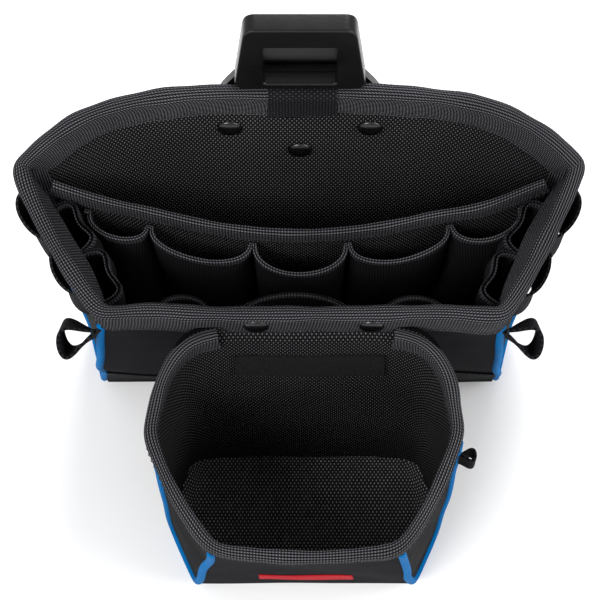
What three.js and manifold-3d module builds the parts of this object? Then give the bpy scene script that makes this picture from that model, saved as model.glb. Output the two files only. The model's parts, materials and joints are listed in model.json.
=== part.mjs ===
// Electrician tool pouch: a wide main pouch with a divider and tool loops, a smaller
// pouch that hangs on its front, and a moulded click holder with a handle at the back.
// Millimetres, +Z up, +X to the right as seen from the front, which faces -Y.
// While it is built, y = 0 is the rear face of the back panel; the last lines centre it.

import * as THREE from "three";
import { mergeVertices } from "three/addons/utils/BufferGeometryUtils.js";
import Module from "manifold-3d";

const wasm = await Module();
wasm.setup();

// ---------------------------------------------------------------- driving dimensions

const GAP = 0.4; // clearance kept between pieces that touch in the sewn pouch

// Main pouch
const MOUTH_HALF = 140; // half the width of the mouth at the rear corners
const MOUTH_FRONT_HALF = 100; // half the width of the mouth at the front corners
const MOUTH_DEPTH = 88; // rear face to the front seam corner at the mouth
const REAR_CORNER_HEIGHT = 229;
const ARCH_RISE = 48; // rise of the back panel's top edge above the rear corners
const ARCH_POWER = 3.7;
const FRONT_HEIGHT = 206; // top edge of the front wall
const BASE_HALF = 118; // half the width of the base at the front
const BASE_BACK_HALF = 128; // half the width of the back panel at the base
const BASE_HEEL_INSET = 6; // from the back panel's edge to the base's heel
const BASE_DEPTH = 46; // rear face to the front wall's foot
const BASE_RADIUS = 18; // round from the base up into the front wall
const HEEL_RADIUS = 12; // round from the base up against the back panel
const BACK_WRAP = 13; // how far the back panel's edges curve forward
const MOUTH_BOW = 0.6; // how far the front wall bows forward at mid width
const SIDE_BOW = 4; // how far the side gussets bow outward
const MOUTH_FLARE = 8; // outward flare of the gussets at the mouth
const FLARE_SPAN = 0.14; // share of the wall's height over which it flares

// Fabrics and boards
const BACK_THICK = 5; // skins and board together
const SKIN_THICK = 1.2;
const BOARD_THICK = 2;
const BOARD_SPAN = [0.14, 0.86, 0.04, 0.93]; // shares of the back panel, across and up
const WALL_THICK = 2.4;
const GUSSET_THICK = 2;
const BASE_THICK = 2.6;
const DIVIDER_THICK = 1.8;
const WEBBING_THICK = 1.5;
const PIPING_RADIUS = 2.3;
const PIPING_LIFT = 0.2; // keeps the piping's lowest run just off the ground
const PIPING_GAP = 1.1; // clearance from the piping to the edge of each panel beside it
const PIPING_FOOT = PIPING_RADIUS + PIPING_LIFT; // height of the piping's lowest run
const SEAM = PIPING_RADIUS + PIPING_GAP; // from a corner seam's line to those edges

// Binding tape folded over the edges
const BINDING_LEG = 13;
const BINDING_SIDE = 1.5; // tape and its fold on each side of the wall
const BINDING_CROWN = 2; // tape over the wall's edge
const RIM_PATCH_SPAN = [0.44, 0.56, 0.925, 0.995]; // shares of the back panel, across and up

// Divider
const DIVIDER_HALF = 124;
const DIVIDER_BASE_HALF = 110;
const DIVIDER_END_DEPTH = 22;
const DIVIDER_MID_DEPTH = 37;
const DIVIDER_END_HEIGHT = 220;
const DIVIDER_MID_HEIGHT = 194;
const DIVIDER_FOOT_DEPTH = 20;

// Front pouch
const POUCH_SHIFT = 3; // the front pouch sits a little to the right of centre
const POUCH_CLEARANCE = 1.3; // from the main pouch's front binding to the front pouch
const POUCH_BACK = MOUTH_DEPTH + MOUTH_BOW + WALL_THICK / 2 + BINDING_SIDE + POUCH_CLEARANCE;
const POUCH_HANG_DROP = 11; // from the main pouch's front edge to the fold that it swings on
const POUCH_HANG = FRONT_HEIGHT - POUCH_HANG_DROP;
const POUCH_TOP_HALF = 50;
const POUCH_WING_HALF = 79;
const POUCH_WING_DEPTH = 40; // wing edge in front of the pouch's back
const POUCH_WING_DROP = 32; // from the fold to the edge of the wings
const POUCH_WING_HEIGHT = POUCH_HANG - POUCH_WING_DROP;
const POUCH_FRONT_HALF = 47;
const POUCH_FRONT_DEPTH = 102;
const POUCH_FRONT_DROP = 11; // from the wings' edge to the front wall's
const POUCH_FRONT_HEIGHT = POUCH_WING_HEIGHT - POUCH_FRONT_DROP;
const POUCH_BASE_HALF = 61;
const POUCH_BASE_DEPTH = 79;
const POUCH_RADIUS = 14;
const POUCH_BACK_BASE_HALF = 60;
const POUCH_SIDE_BOW = 3;
const HANGER_HEIGHT = 9;

// Click holder
const PLATE_FRONT = BINDING_SIDE + 2 * GAP; // clears the binding's outer leg
const PLATE_THICK = 5;
const PLATE_HALF = 42;
const PLATE_FOOT = 150;
const PLATE_TOP = 288;
const PLATE_CORNER = 22;
const PLATE_STEP = 0.8; // the plate's rear face steps forward behind the lever
const PLATE_STEP_HEIGHT = 250;
const HANDLE_FOOT = 283;
const HANDLE_TOP = 334;
const HANDLE_FOOT_HALF = 32;
const HANDLE_TOP_HALF = 26;
const HANDLE_FRONT = 5; // in front of the rear face of the back panel
const HANDLE_DEPTH = 10;
const WINDOW_HALF = 17.5;
const WINDOW_FOOT = 288;
const WINDOW_TOP = 319;
const LEVER_HALF = 20;
const LEVER_THICK = 3;
const LEVER_TOP = 309;
const LEVER_PIVOT_HEIGHT = 268;
const LEVER_PIVOT_BACK = 12; // behind the rear face of the back panel
const LEVER_FOOT = 252;
const PIN_RADIUS = 1.5;
const PIN_CLEARANCE = 0.25;

// Rivets
const RIVET_HEAD_RADIUS = 6.4;
const RIVET_HEAD_HEIGHT = 2.2;
const RIVET_SHANK_RADIUS = 2;
const RIVET_HOLE_RADIUS = 2.4;
const RIVET_TAIL_HEIGHT = 1.2;
const RIVET_SINK = 2; // the tails lie this deep in the click plate's rear face
const PANEL_RIVETS = [[-35, 247], [35, 247], [0, 225]];
const POUCH_RIVET_CENTRE = 7;
const POUCH_RIVET_HALF_SPACING = 29;

// ---------------------------------------------------------------- finishes

const finish = (color, roughness, metalness = 0) =>
  new THREE.MeshStandardMaterial({ color, roughness, metalness });

const basketWeave = finish(0x141416, 0.85);
const coatedFabric = finish(0x1c1d20, 0.5);
const bindingTape = finish(0x2c2c32, 0.9);
const webbing = finish(0x1b1b1e, 0.9);
const bluePiping = finish(0x0a6fc0, 0.45);
const mouldedBlack = finish(0x17181a, 0.4);
const darkMetal = finish(0x101012, 0.35, 0.8);
const springSteel = finish(0x8a8c90, 0.35, 1);
const hookLoop = finish(0x0c0c0d, 1);
const labelRed = finish(0xb0202a, 0.8);
const stiffBoard = finish(0x303236, 0.7);

// ---------------------------------------------------------------- shape helpers

const lerp = THREE.MathUtils.lerp;
const vec = (x, y, z) => new THREE.Vector3(x, y, z);
const smooth = (x) => THREE.MathUtils.smoothstep(x, 0, 1);

/** A closed body from points and triangles, turned so that its faces point out. */
function closedBody(points, triangles) {
  let volume = 0;
  for (const [a, b, c] of triangles) {
    volume += points[a].dot(points[b].clone().cross(points[c]));
  }
  const faces = volume < 0 ? triangles.map(([a, b, c]) => [a, c, b]) : triangles;
  const geometry = new THREE.BufferGeometry().setFromPoints(points);
  geometry.setIndex(faces.flat());
  geometry.computeVertexNormals();
  return geometry;
}

/** The unit normal of surface(u, v), along its u direction times its v direction. */
function normalAt(surface, u, v) {
  const step = 1e-3;
  const [u0, u1] = [Math.max(0, u - step), Math.min(1, u + step)];
  const [v0, v1] = [Math.max(0, v - step), Math.min(1, v + step)];
  const alongU = surface(u1, v).sub(surface(u0, v));
  const alongV = surface(u, v1).sub(surface(u, v0));
  return alongU.cross(alongV).normalize();
}

/** The surface moved along its own normal. */
const offset = (surface, distance) => (u, v) =>
  surface(u, v).addScaledVector(normalAt(surface, u, v), distance);

/** A part of a surface, between two values of u and two of v. */
const part = (surface, u0, u1, v0, v1) => (u, v) => surface(lerp(u0, u1, u), lerp(v0, v1, v));

/** A panel of even thickness about a surface. */
function panelGeometry(surface, thickness, columns, rows) {
  const points = [];
  for (const side of [0.5, -0.5]) {
    for (let j = 0; j <= rows; j += 1) {
      for (let i = 0; i <= columns; i += 1) {
        const [u, v] = [i / columns, j / rows];
        points.push(surface(u, v).addScaledVector(normalAt(surface, u, v), side * thickness));
      }
    }
  }
  const layer = (columns + 1) * (rows + 1);
  const at = (side, i, j) => side * layer + j * (columns + 1) + i;
  const triangles = [];
  const quad = (a, b, c, d) => triangles.push([a, b, c], [a, c, d]);
  for (let j = 0; j < rows; j += 1) {
    for (let i = 0; i < columns; i += 1) {
      quad(at(0, i, j), at(0, i + 1, j), at(0, i + 1, j + 1), at(0, i, j + 1));
      quad(at(1, i, j), at(1, i, j + 1), at(1, i + 1, j + 1), at(1, i + 1, j));
    }
  }
  for (let i = 0; i < columns; i += 1) {
    quad(at(1, i, 0), at(1, i + 1, 0), at(0, i + 1, 0), at(0, i, 0));
    quad(at(0, i, rows), at(0, i + 1, rows), at(1, i + 1, rows), at(1, i, rows));
  }
  for (let j = 0; j < rows; j += 1) {
    quad(at(0, 0, j), at(0, 0, j + 1), at(1, 0, j + 1), at(1, 0, j));
    quad(at(1, columns, j), at(1, columns, j + 1), at(0, columns, j + 1), at(0, columns, j));
  }
  return closedBody(points, triangles);
}

/** A section (a list of 2D points) carried through a list of {origin, across, up} frames. */
function sweepGeometry(frames, section) {
  const points = frames.flatMap(({ origin, across, up }) =>
    section.map((p) => origin.clone().addScaledVector(across, p.x).addScaledVector(up, p.y)));
  const count = section.length;
  const triangles = [];
  for (let k = 0; k < frames.length - 1; k += 1) {
    for (let i = 0; i < count; i += 1) {
      const [a, b] = [k * count + i, k * count + ((i + 1) % count)];
      triangles.push([a, b, b + count], [a, b + count, a + count]);
    }
  }
  const last = (frames.length - 1) * count;
  for (const [a, b, c] of THREE.ShapeUtils.triangulateShape(section, [])) {
    triangles.push([a, c, b], [a + last, b + last, c + last]);
  }
  return closedBody(points, orientCaps(points, triangles, count));
}

/** Turns the caps the way that the side faces of a sweep need. */
function orientCaps(points, triangles, count) {
  const edges = new Set(triangles.slice(0, 2 * count).flatMap(([a, b, c]) =>
    [`${a},${b}`, `${b},${c}`, `${c},${a}`]));
  const isCap = ([a, b, c]) => Math.floor(a / count) === Math.floor(b / count)
    && Math.floor(b / count) === Math.floor(c / count);
  const first = triangles.filter((t) => isCap(t) && t[0] < count);
  const clash = first.some(([a, b, c]) =>
    edges.has(`${a},${b}`) || edges.has(`${b},${c}`) || edges.has(`${c},${a}`));
  return clash ? triangles.map((t) => (isCap(t) ? [t[0], t[2], t[1]] : t)) : triangles;
}

/** Tape folded over the top edge of a wall: a channel square to the wall's last row. */
function bindingGeometry(surface, wallThickness, columns, rows) {
  const slot = wallThickness / 2 + GAP;
  const half = slot + BINDING_SIDE;
  const chamfer = BINDING_SIDE * 0.7;
  const crown = GAP + BINDING_CROWN;
  const section = [
    [half, -BINDING_LEG], [half, crown - chamfer], [half - chamfer, crown],
    [chamfer - half, crown], [-half, crown - chamfer], [-half, -BINDING_LEG],
    [-slot, -BINDING_LEG], [-slot, GAP], [slot, GAP], [slot, -BINDING_LEG],
  ].map(([x, y]) => new THREE.Vector2(x, y));
  const frames = [];
  for (let i = 0; i <= columns; i += 1) {
    const u = i / columns;
    const origin = surface(u, 1);
    const up = origin.clone().sub(surface(u, 1 - 1 / rows)).normalize();
    const along = surface(Math.min(1, u + 1e-3), 1).sub(surface(Math.max(0, u - 1e-3), 1));
    frames.push({ origin, across: along.cross(up).normalize(), up });
  }
  return sweepGeometry(frames, section);
}

/** A round cord sewn along a path of points. */
function cordGeometry(points, radius, steps) {
  const outline = new THREE.Shape().absarc(0, 0, radius, 0, 2 * Math.PI);
  return new THREE.ExtrudeGeometry(outline, {
    extrudePath: new THREE.CatmullRomCurve3(points, false, "centripetal"),
    steps,
    curveSegments: 4,
  });
}

const LOOP_CLEARANCE = 0.7; // between a loop's sewn ends and the wall, with its facets
const LOOP_SHOULDER = 0.42; // share of a loop's span over which its tape rises

/** A tape on a wall that leaves it, bows away and comes back, once for each loop. */
function loopGeometry(wall, wallThickness, { loops, foot, top, side = 1, steps = 12 }) {
  const thickness = WEBBING_THICK;
  const lift = wallThickness / 2 + LOOP_CLEARANCE + thickness / 2;
  const [start, end] = [loops[0].from, loops.at(-1).to];
  const surface = (s, t) => {
    const u = lerp(start, end, s);
    const v = lerp(foot, top, t);
    const loop = loops.find(({ from, to }) => u >= from && u <= to);
    const share = loop ? (u - loop.from) / (loop.to - loop.from) : 0;
    const bow = smooth(share / LOOP_SHOULDER) * smooth((1 - share) / LOOP_SHOULDER);
    const out = lift + (loop ? loop.rise * bow : 0);
    return wall(u, v).addScaledVector(normalAt(wall, u, v), side * out);
  };
  return panelGeometry(surface, thickness, steps * loops.length, 1);
}

/** A plate with an outline in the XZ plane, from the y of its front face backwards. */
function plateGeometry(shape, front, depth, bevel = 0) {
  const geometry = new THREE.ExtrudeGeometry(shape, {
    depth: depth - 2 * bevel,
    bevelEnabled: bevel > 0,
    bevelThickness: bevel,
    bevelSize: bevel,
    bevelOffset: -bevel,
    bevelSegments: 2,
    curveSegments: 6,
  });
  geometry.translate(0, 0, bevel);
  geometry.rotateX(Math.PI / 2);
  geometry.translate(0, front + depth, 0);
  return geometry;
}

/** An outline with rounded corners; each point may hold its own radius. */
function roundedShape(corners, radius, Kind = THREE.Shape) {
  const shape = new Kind();
  corners.forEach(([x, y, r = radius], i) => {
    const here = new THREE.Vector2(x, y);
    const before = new THREE.Vector2(...corners.at(i - 1)).sub(here).setLength(r).add(here);
    const after = new THREE.Vector2(...corners[(i + 1) % corners.length]);
    after.sub(here).setLength(r).add(here);
    if (i === 0) {
      shape.moveTo(before.x, before.y);
    } else {
      shape.lineTo(before.x, before.y);
    }
    shape.quadraticCurveTo(x, y, after.x, after.y);
  });
  shape.closePath();
  return shape;
}

/** A geometry as a solid that can be cut and joined. */
function solid(geometry) {
  const bare = geometry.clone();
  bare.deleteAttribute("normal");
  bare.deleteAttribute("uv");
  const merged = mergeVertices(bare, 1e-4);
  return new wasm.Manifold(new wasm.Mesh({
    numProp: 3,
    vertProperties: new Float32Array(merged.attributes.position.array),
    triVerts: new Uint32Array(merged.index.array),
  }));
}

/** A solid back as a geometry. */
function fromSolid(manifold) {
  const { vertProperties, triVerts } = manifold.getMesh();
  const geometry = new THREE.BufferGeometry();
  geometry.setAttribute("position", new THREE.BufferAttribute(vertProperties, 3));
  geometry.setIndex(new THREE.BufferAttribute(triVerts, 1));
  geometry.computeVertexNormals();
  return geometry;
}

/** A cylinder along Y between two y values. */
function cylinderY(x, z, radius, y0, y1, sides = 12) {
  const geometry = new THREE.CylinderGeometry(radius, radius, y1 - y0, sides);
  geometry.translate(x, (y0 + y1) / 2, z);
  return geometry;
}

/** A cylinder along X. */
function cylinderX(x0, x1, y, z, radius, sides = 16) {
  const geometry = new THREE.CylinderGeometry(radius, radius, x1 - x0, sides);
  geometry.rotateZ(Math.PI / 2);
  geometry.translate((x0 + x1) / 2, y, z);
  return geometry;
}

/** A geometry with round holes along Y. */
function pierce(geometry, holes, radius) {
  let body = solid(geometry);
  for (const [x, z] of holes) {
    body = body.subtract(solid(cylinderY(x, z, radius, -400, 100)));
  }
  return fromSolid(body);
}

const pouch = new THREE.Group();
const mainPouch = new THREE.Group();
const frontPouch = new THREE.Group();
const clickHolder = new THREE.Group();
pouch.add(mainPouch, frontPouch, clickHolder);
frontPouch.position.x = POUCH_SHIFT;

function add(group, name, geometry, material) {
  const mesh = new THREE.Mesh(geometry, material);
  mesh.name = name;
  group.add(mesh);
  return mesh;
}

// ---------------------------------------------------------------- main pouch surfaces
// Every wall is a surface(u, v): u runs round the pouch from the left rear corner over
// the front to the right and back over the rear, v from the foot to the top edge, so
// that every normal points out of the pouch.

/** How much a wall stands out at its top, 0 below the flared stretch. */
const flare = (v) => Math.max(0, (v - 1 + FLARE_SPAN) / FLARE_SPAN) ** 2;

/** The front wall's middle in profile, from its foot (0) to its top (1). */
function frontProfile(k) {
  return {
    depth: lerp(BASE_DEPTH, MOUTH_DEPTH, Math.sin((Math.PI / 2) * k)),
    height: lerp(BASE_RADIUS + BASE_THICK / 2, FRONT_HEIGHT, k),
    half: lerp(BASE_HALF, MOUTH_FRONT_HALF, k),
  };
}

/** Back panel: middle of the skins and board. u from the right edge to the left. */
function backSurface(u, v) {
  const side = 1 - 2 * u;
  const top = REAR_CORNER_HEIGHT + ARCH_RISE * (1 - Math.abs(side) ** ARCH_POWER);
  const wrap = BACK_WRAP * Math.abs(side) ** 4;
  return vec(
    side * lerp(BASE_BACK_HALF, MOUTH_HALF, v),
    -BACK_THICK / 2 - wrap * smooth(v),
    lerp(BASE_THICK + GAP, top, v),
  );
}

/** Front wall with its rounded foot; the first FOOT_SHARE of v is the round. */
const FOOT_SHARE = 0.16;
function frontSurface(u, v) {
  const side = 2 * u - 1;
  if (v < FOOT_SHARE) {
    const angle = (Math.PI / 2) * (1 - v / FOOT_SHARE);
    const { depth, half } = frontProfile(0);
    return vec(
      side * (half - SEAM),
      -depth + BASE_RADIUS * (1 - Math.cos(angle)),
      BASE_THICK / 2 + BASE_RADIUS * (1 - Math.sin(angle)),
    );
  }
  const k = (v - FOOT_SHARE) / (1 - FOOT_SHARE);
  const { depth, height, half } = frontProfile(k);
  return vec(side * (half - SEAM), -depth - MOUTH_BOW * k * Math.cos((Math.PI / 2) * side), height);
}

/** The line of a front corner seam; side is -1 on the left and 1 on the right. */
function frontSeam(side, k) {
  const { depth, height, half } = frontProfile(k);
  return vec(side * half, -depth, height);
}

/** How far up a wall between two heights a point lies, from 0 to 1. */
const shareOfHeight = (z, low, high) => THREE.MathUtils.clamp((z - low) / (high - low), 0, 1);

/** The line where a gusset meets the back panel. */
function rearSeam(side, k) {
  const edge = backSurface((1 - side) / 2, k);
  edge.y -= BACK_THICK / 2 + GAP + PIPING_RADIUS;
  return edge;
}

/** A U-bottomed side gusset; u runs rear to front on the left, front to rear on the right. */
const gussetSurface = (side) => (u, v) => {
  const along = side < 0 ? u : 1 - u;
  const footLength = rearSeam(side, 0).setZ(0).distanceTo(frontSeam(side, 0).setZ(0));
  const footInset = lerp(SEAM, footLength - SEAM, along);
  const foot = PIPING_FOOT - GAP
    + uFoot(footInset, footLength - footInset, HEEL_RADIUS, BASE_RADIUS);
  const height = lerp(foot, lerp(REAR_CORNER_HEIGHT, FRONT_HEIGHT, along), v);
  const rear = rearSeam(side, shareOfHeight(height, 0, REAR_CORNER_HEIGHT));
  const front = frontSeam(side, shareOfHeight(height, BASE_RADIUS, FRONT_HEIGHT));
  const across = front.sub(rear).setZ(0);
  const share = lerp(SEAM, across.length() - SEAM, along) / across.length();
  const out = across.clone().cross(vec(0, 0, -side)).normalize();
  const bow = SIDE_BOW * Math.sin(Math.PI * share) * v + MOUTH_FLARE * flare(v);
  return rear.setZ(height).addScaledVector(across, share).addScaledVector(out, bow);
};

/** Height, above the seam's lowest line, of a panel's U-shaped foot that keeps SEAM from it. */
function uFoot(fromRear, fromFront, rearRadius, frontRadius) {
  const [inset, radius] = fromRear < fromFront
    ? [fromRear, rearRadius] : [fromFront, frontRadius];
  const inner = radius - SEAM;
  const inward = Math.max(0, radius - inset);
  return radius - Math.sqrt(Math.max(0, inner * inner - inward * inward));
}

/** The base, from the front wall's round to its heel against the back panel. */
function baseSurface(u, v) {
  const side = 2 * u - 1;
  const heelFace = BACK_THICK + GAP + BASE_THICK / 2;
  const flat = BASE_DEPTH - BASE_RADIUS - GAP - heelFace - HEEL_RADIUS;
  const length = flat + (Math.PI / 2) * HEEL_RADIUS;
  const s = v * length;
  const half = lerp(BASE_HALF, BASE_BACK_HALF - BASE_HEEL_INSET, v) - SEAM;
  if (s < flat) {
    return vec(side * half, -(BASE_DEPTH - BASE_RADIUS - GAP) + s, BASE_THICK / 2);
  }
  const angle = (s - flat) / HEEL_RADIUS;
  return vec(
    side * half,
    -heelFace - HEEL_RADIUS + HEEL_RADIUS * Math.sin(angle),
    BASE_THICK / 2 + HEEL_RADIUS * (1 - Math.cos(angle)),
  );
}

const PANEL_COLUMNS = 16;
const BACK_ROWS = 6;
const FRONT_ROWS = 12;
const GUSSET_COLUMNS = 10;
const GUSSET_ROWS = 10;
const DIVIDER_ROWS = 4;
const gussets = { left: gussetSurface(-1), right: gussetSurface(1) };

// ---------------------------------------------------------------- main pouch pieces

const skinOffset = (BACK_THICK - SKIN_THICK) / 2;
add(mainPouch, "back_inner_skin", pierce(
  panelGeometry(offset(backSurface, -skinOffset), SKIN_THICK, PANEL_COLUMNS, BACK_ROWS),
  PANEL_RIVETS, RIVET_HOLE_RADIUS), basketWeave);
add(mainPouch, "back_outer_skin", pierce(
  panelGeometry(offset(backSurface, skinOffset), SKIN_THICK, PANEL_COLUMNS, BACK_ROWS),
  PANEL_RIVETS, RIVET_HOLE_RADIUS), basketWeave);
add(mainPouch, "back_board", pierce(
  panelGeometry(part(backSurface, ...BOARD_SPAN), BOARD_THICK, 10, BACK_ROWS),
  PANEL_RIVETS, RIVET_HOLE_RADIUS), stiffBoard);

const hangerHoles = [-1, 1].map((side) =>
  [POUCH_RIVET_CENTRE + side * POUCH_RIVET_HALF_SPACING, POUCH_HANG + 2 * GAP + HANGER_HEIGHT / 2]);
add(mainPouch, "front_panel", pierce(
  panelGeometry(frontSurface, WALL_THICK, PANEL_COLUMNS, FRONT_ROWS),
  hangerHoles, RIVET_HOLE_RADIUS), basketWeave);
add(mainPouch, "base_panel", panelGeometry(baseSurface, BASE_THICK, 8, 6), coatedFabric);
for (const [name, surface] of Object.entries(gussets)) {
  add(mainPouch, `gusset_${name}`,
    panelGeometry(surface, GUSSET_THICK, GUSSET_COLUMNS, GUSSET_ROWS), basketWeave);
}

// Coated apron over the lower front, and the ribbed elastic panel above it
const trimLift = WALL_THICK / 2 + GAP + 0.5;
add(mainPouch, "front_apron", panelGeometry(
  offset(part(frontSurface, 0, 1, FOOT_SHARE * 0.9, 0.4), trimLift), 0.9, PANEL_COLUMNS, 6),
coatedFabric);
add(mainPouch, "front_elastic_panel", panelGeometry(
  offset(part(frontSurface, 0.19, 0.81, 0.43, 0.8), trimLift), 0.9, 14, 4), webbing);

// Binding round the mouth
const boundBack = part(backSurface, 0.004, 0.996, 0, 1);
add(mainPouch, "binding_back",
  bindingGeometry(boundBack, BACK_THICK, PANEL_COLUMNS, BACK_ROWS), bindingTape);
const boundFront = part(frontSurface, 0.01, 0.99, 0, 1);
add(mainPouch, "binding_front", pierce(
  bindingGeometry(boundFront, WALL_THICK, PANEL_COLUMNS, FRONT_ROWS),
  hangerHoles, RIVET_HOLE_RADIUS), bindingTape);
for (const [name, surface] of Object.entries(gussets)) {
  const bound = part(surface, 0.05, 0.95, 0, 1);
  add(mainPouch, `binding_${name}`, bindingGeometry(bound, GUSSET_THICK, GUSSET_COLUMNS, GUSSET_ROWS),
    bindingTape);
}

// Patch over the binding's inner leg, under the handle
const patchLift = BACK_THICK / 2 + GAP + BINDING_SIDE + GAP + 0.6;
add(mainPouch, "rim_patch", panelGeometry(
  offset(part(backSurface, ...RIM_PATCH_SPAN), -patchLift), 1.2, 4, 2), coatedFabric);

/** The path of piping down a front seam, round the foot and up a rear seam. */
function pipingPath({ side, frontLine, rearLine, frontRadius, rearRadius, topShare, rearTopShare }) {
  const steps = 6;
  const down = [...Array(steps + 1).keys()].map((i) =>
    frontLine(side, lerp(topShare, 0.03, i / steps)));
  const up = [...Array(steps + 1).keys()].map((i) =>
    rearLine(side, lerp(0.1, rearTopShare, i / steps)));
  const front = frontLine(side, 0);
  const rear = rearLine(side, 0);
  const ground = rear.clone().sub(front).setZ(0).normalize();
  const corner = (line, radius, sign, turns) => turns.map((turn) => {
    const angle = (Math.PI / 2) * turn;
    const inward = sign * radius * (1 - Math.cos(angle));
    const centre = radius + BASE_THICK / 2;
    return line.clone().setZ(centre - (centre - PIPING_FOOT) * Math.sin(angle))
      .addScaledVector(ground, inward);
  });
  return [
    ...down,
    ...corner(front, frontRadius, 1, [0.25, 0.5, 0.75, 1]),
    ...corner(rear, rearRadius, -1, [1, 0.75, 0.5, 0.25]),
    ...up,
  ];
}

// Blue piping round each gusset's U-shaped seam
for (const [name, side] of [["left", -1], ["right", 1]]) {
  const path = pipingPath({
    side,
    frontLine: frontSeam,
    rearLine: rearSeam,
    frontRadius: BASE_RADIUS,
    rearRadius: HEEL_RADIUS,
    topShare: 0.93,
    rearTopShare: 0.9,
  });
  add(mainPouch, `piping_${name}`, cordGeometry(path, PIPING_RADIUS, 50), bluePiping);
}

// ---------------------------------------------------------------- divider and loops

/** The divider's surface; its normal points to the front. */
function dividerSurface(u, v) {
  const side = 2 * u - 1;
  const sag = Math.abs(side) ** 1.8;
  const half = lerp(DIVIDER_BASE_HALF, DIVIDER_HALF, smooth(v));
  const top = lerp(DIVIDER_MID_HEIGHT, DIVIDER_END_HEIGHT, sag);
  const topDepth = lerp(DIVIDER_MID_DEPTH, DIVIDER_END_DEPTH, sag);
  return vec(
    side * half,
    -lerp(DIVIDER_FOOT_DEPTH, topDepth, v),
    lerp(BASE_THICK + 2 * GAP, top, v),
  );
}
add(mainPouch, "divider", panelGeometry(dividerSurface, DIVIDER_THICK, PANEL_COLUMNS, DIVIDER_ROWS),
  coatedFabric);
const boundDivider = part(dividerSurface, 0.01, 0.99, 0, 1);
add(mainPouch, "binding_divider",
  bindingGeometry(boundDivider, DIVIDER_THICK, PANEL_COLUMNS, DIVIDER_ROWS), bindingTape);

const DIVIDER_LOOPS = [
  { from: 0.065, to: 0.175, rise: 12 },
  { from: 0.19, to: 0.385, rise: 14 },
  { from: 0.41, to: 0.59, rise: 16 },
  { from: 0.615, to: 0.81, rise: 14 },
  { from: 0.825, to: 0.955, rise: 12 },
];
DIVIDER_LOOPS.forEach((loop, i) => {
  const geometry = loopGeometry(dividerSurface, DIVIDER_THICK, {
    loops: [loop], foot: 0.62, top: 0.9,
  });
  add(mainPouch, `divider_loop_${i + 1}`, geometry, webbing);
});

const FRONT_LOOPS = [
  { from: 0.12, to: 0.28, rise: 13 },
  { from: 0.335, to: 0.635, rise: 14 },
  { from: 0.7, to: 0.87, rise: 13 },
];
FRONT_LOOPS.forEach((loop, i) => {
  const geometry = loopGeometry(frontSurface, WALL_THICK, {
    loops: [loop], foot: 0.74, top: 0.9, side: -1,
  });
  add(mainPouch, `front_loop_${i + 1}`, geometry, webbing);
});

const SIDE_LOOPS = [
  { from: 0.3, to: 0.58, rise: 12 },
  { from: 0.61, to: 0.88, rise: 12 },
];
const OUTER_LOOPS = [
  { from: 0.06, to: 0.42, rise: 12 },
  { from: 0.46, to: 0.86, rise: 12.5 },
];
const mirrored = (loops, side) => (side < 0 ? loops
  : loops.map((loop) => ({ ...loop, from: 1 - loop.to, to: 1 - loop.from })).reverse());
for (const [name, side] of [["left", -1], ["right", 1]]) {
  add(mainPouch, `inner_loops_${name}`, loopGeometry(gussets[name], GUSSET_THICK, {
    loops: mirrored(SIDE_LOOPS, side), foot: 0.7, top: 0.87, side: -1,
  }), webbing);
  OUTER_LOOPS.forEach((loop, i) => {
    add(mainPouch, `outer_loop_${name}_${i + 1}`, loopGeometry(gussets[name], GUSSET_THICK, {
      loops: mirrored([loop], side), foot: 0.71, top: 0.88,
    }), webbing);
  });
}

// Webbing tabs folded and sewn into the front seams
const TAB_WIDTH = 21;
const TAB_LENGTH = 21;
const TAB_OPENING = 6.5;
const TAB_SEAM_SHARE = 0.86;
const TAB_TILT = 20; // degrees that the tab's width leans forward out of the vertical
const TAB_OFF_GUSSET = 77.556; // degrees between the tab and its gusset, seen from above
const gussetLean = THREE.MathUtils.radToDeg(
  Math.atan2(MOUTH_HALF - MOUTH_FRONT_HALF, MOUTH_DEPTH));
const tabSweep = TAB_OFF_GUSSET + gussetLean - 90; // forward of straight sideways
for (const [name, side] of [["left", -1], ["right", 1]]) {
  const outerHalf = TAB_OPENING / 2 + WEBBING_THICK;
  const ring = new THREE.Shape();
  ring.moveTo(0, -outerHalf).lineTo(TAB_LENGTH - outerHalf, -outerHalf);
  ring.absarc(TAB_LENGTH - outerHalf, 0, outerHalf, -Math.PI / 2, Math.PI / 2);
  ring.lineTo(0, outerHalf);
  ring.closePath();
  const hole = new THREE.Path();
  hole.moveTo(WEBBING_THICK, -TAB_OPENING / 2);
  hole.lineTo(TAB_LENGTH - outerHalf, -TAB_OPENING / 2);
  hole.absarc(TAB_LENGTH - outerHalf, 0, TAB_OPENING / 2, -Math.PI / 2, Math.PI / 2);
  hole.lineTo(WEBBING_THICK, TAB_OPENING / 2);
  hole.closePath();
  ring.holes.push(hole);
  const geometry = new THREE.ExtrudeGeometry(ring, {
    depth: TAB_WIDTH, bevelEnabled: false, curveSegments: 5,
  });
  geometry.translate(0, 0, -TAB_WIDTH / 2);
  const tab = add(mainPouch, `tab_loop_${name}`, geometry, webbing);
  const out = vec(side, -Math.tan(THREE.MathUtils.degToRad(tabSweep)), 0).normalize();
  const tilt = THREE.MathUtils.degToRad(TAB_TILT);
  const wide = vec(0, 0, 1).applyAxisAngle(out, side * tilt);
  const across = wide.clone().cross(out);
  tab.quaternion.setFromRotationMatrix(new THREE.Matrix4().makeBasis(out, across, wide));
  const reach = PIPING_RADIUS + TAB_WIDTH / 2 * Math.abs(Math.sin(tilt)) * 0.25 + 1.5;
  tab.position.copy(frontSeam(side, TAB_SEAM_SHARE)).addScaledVector(out, reach);
}

// ---------------------------------------------------------------- front pouch

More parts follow.
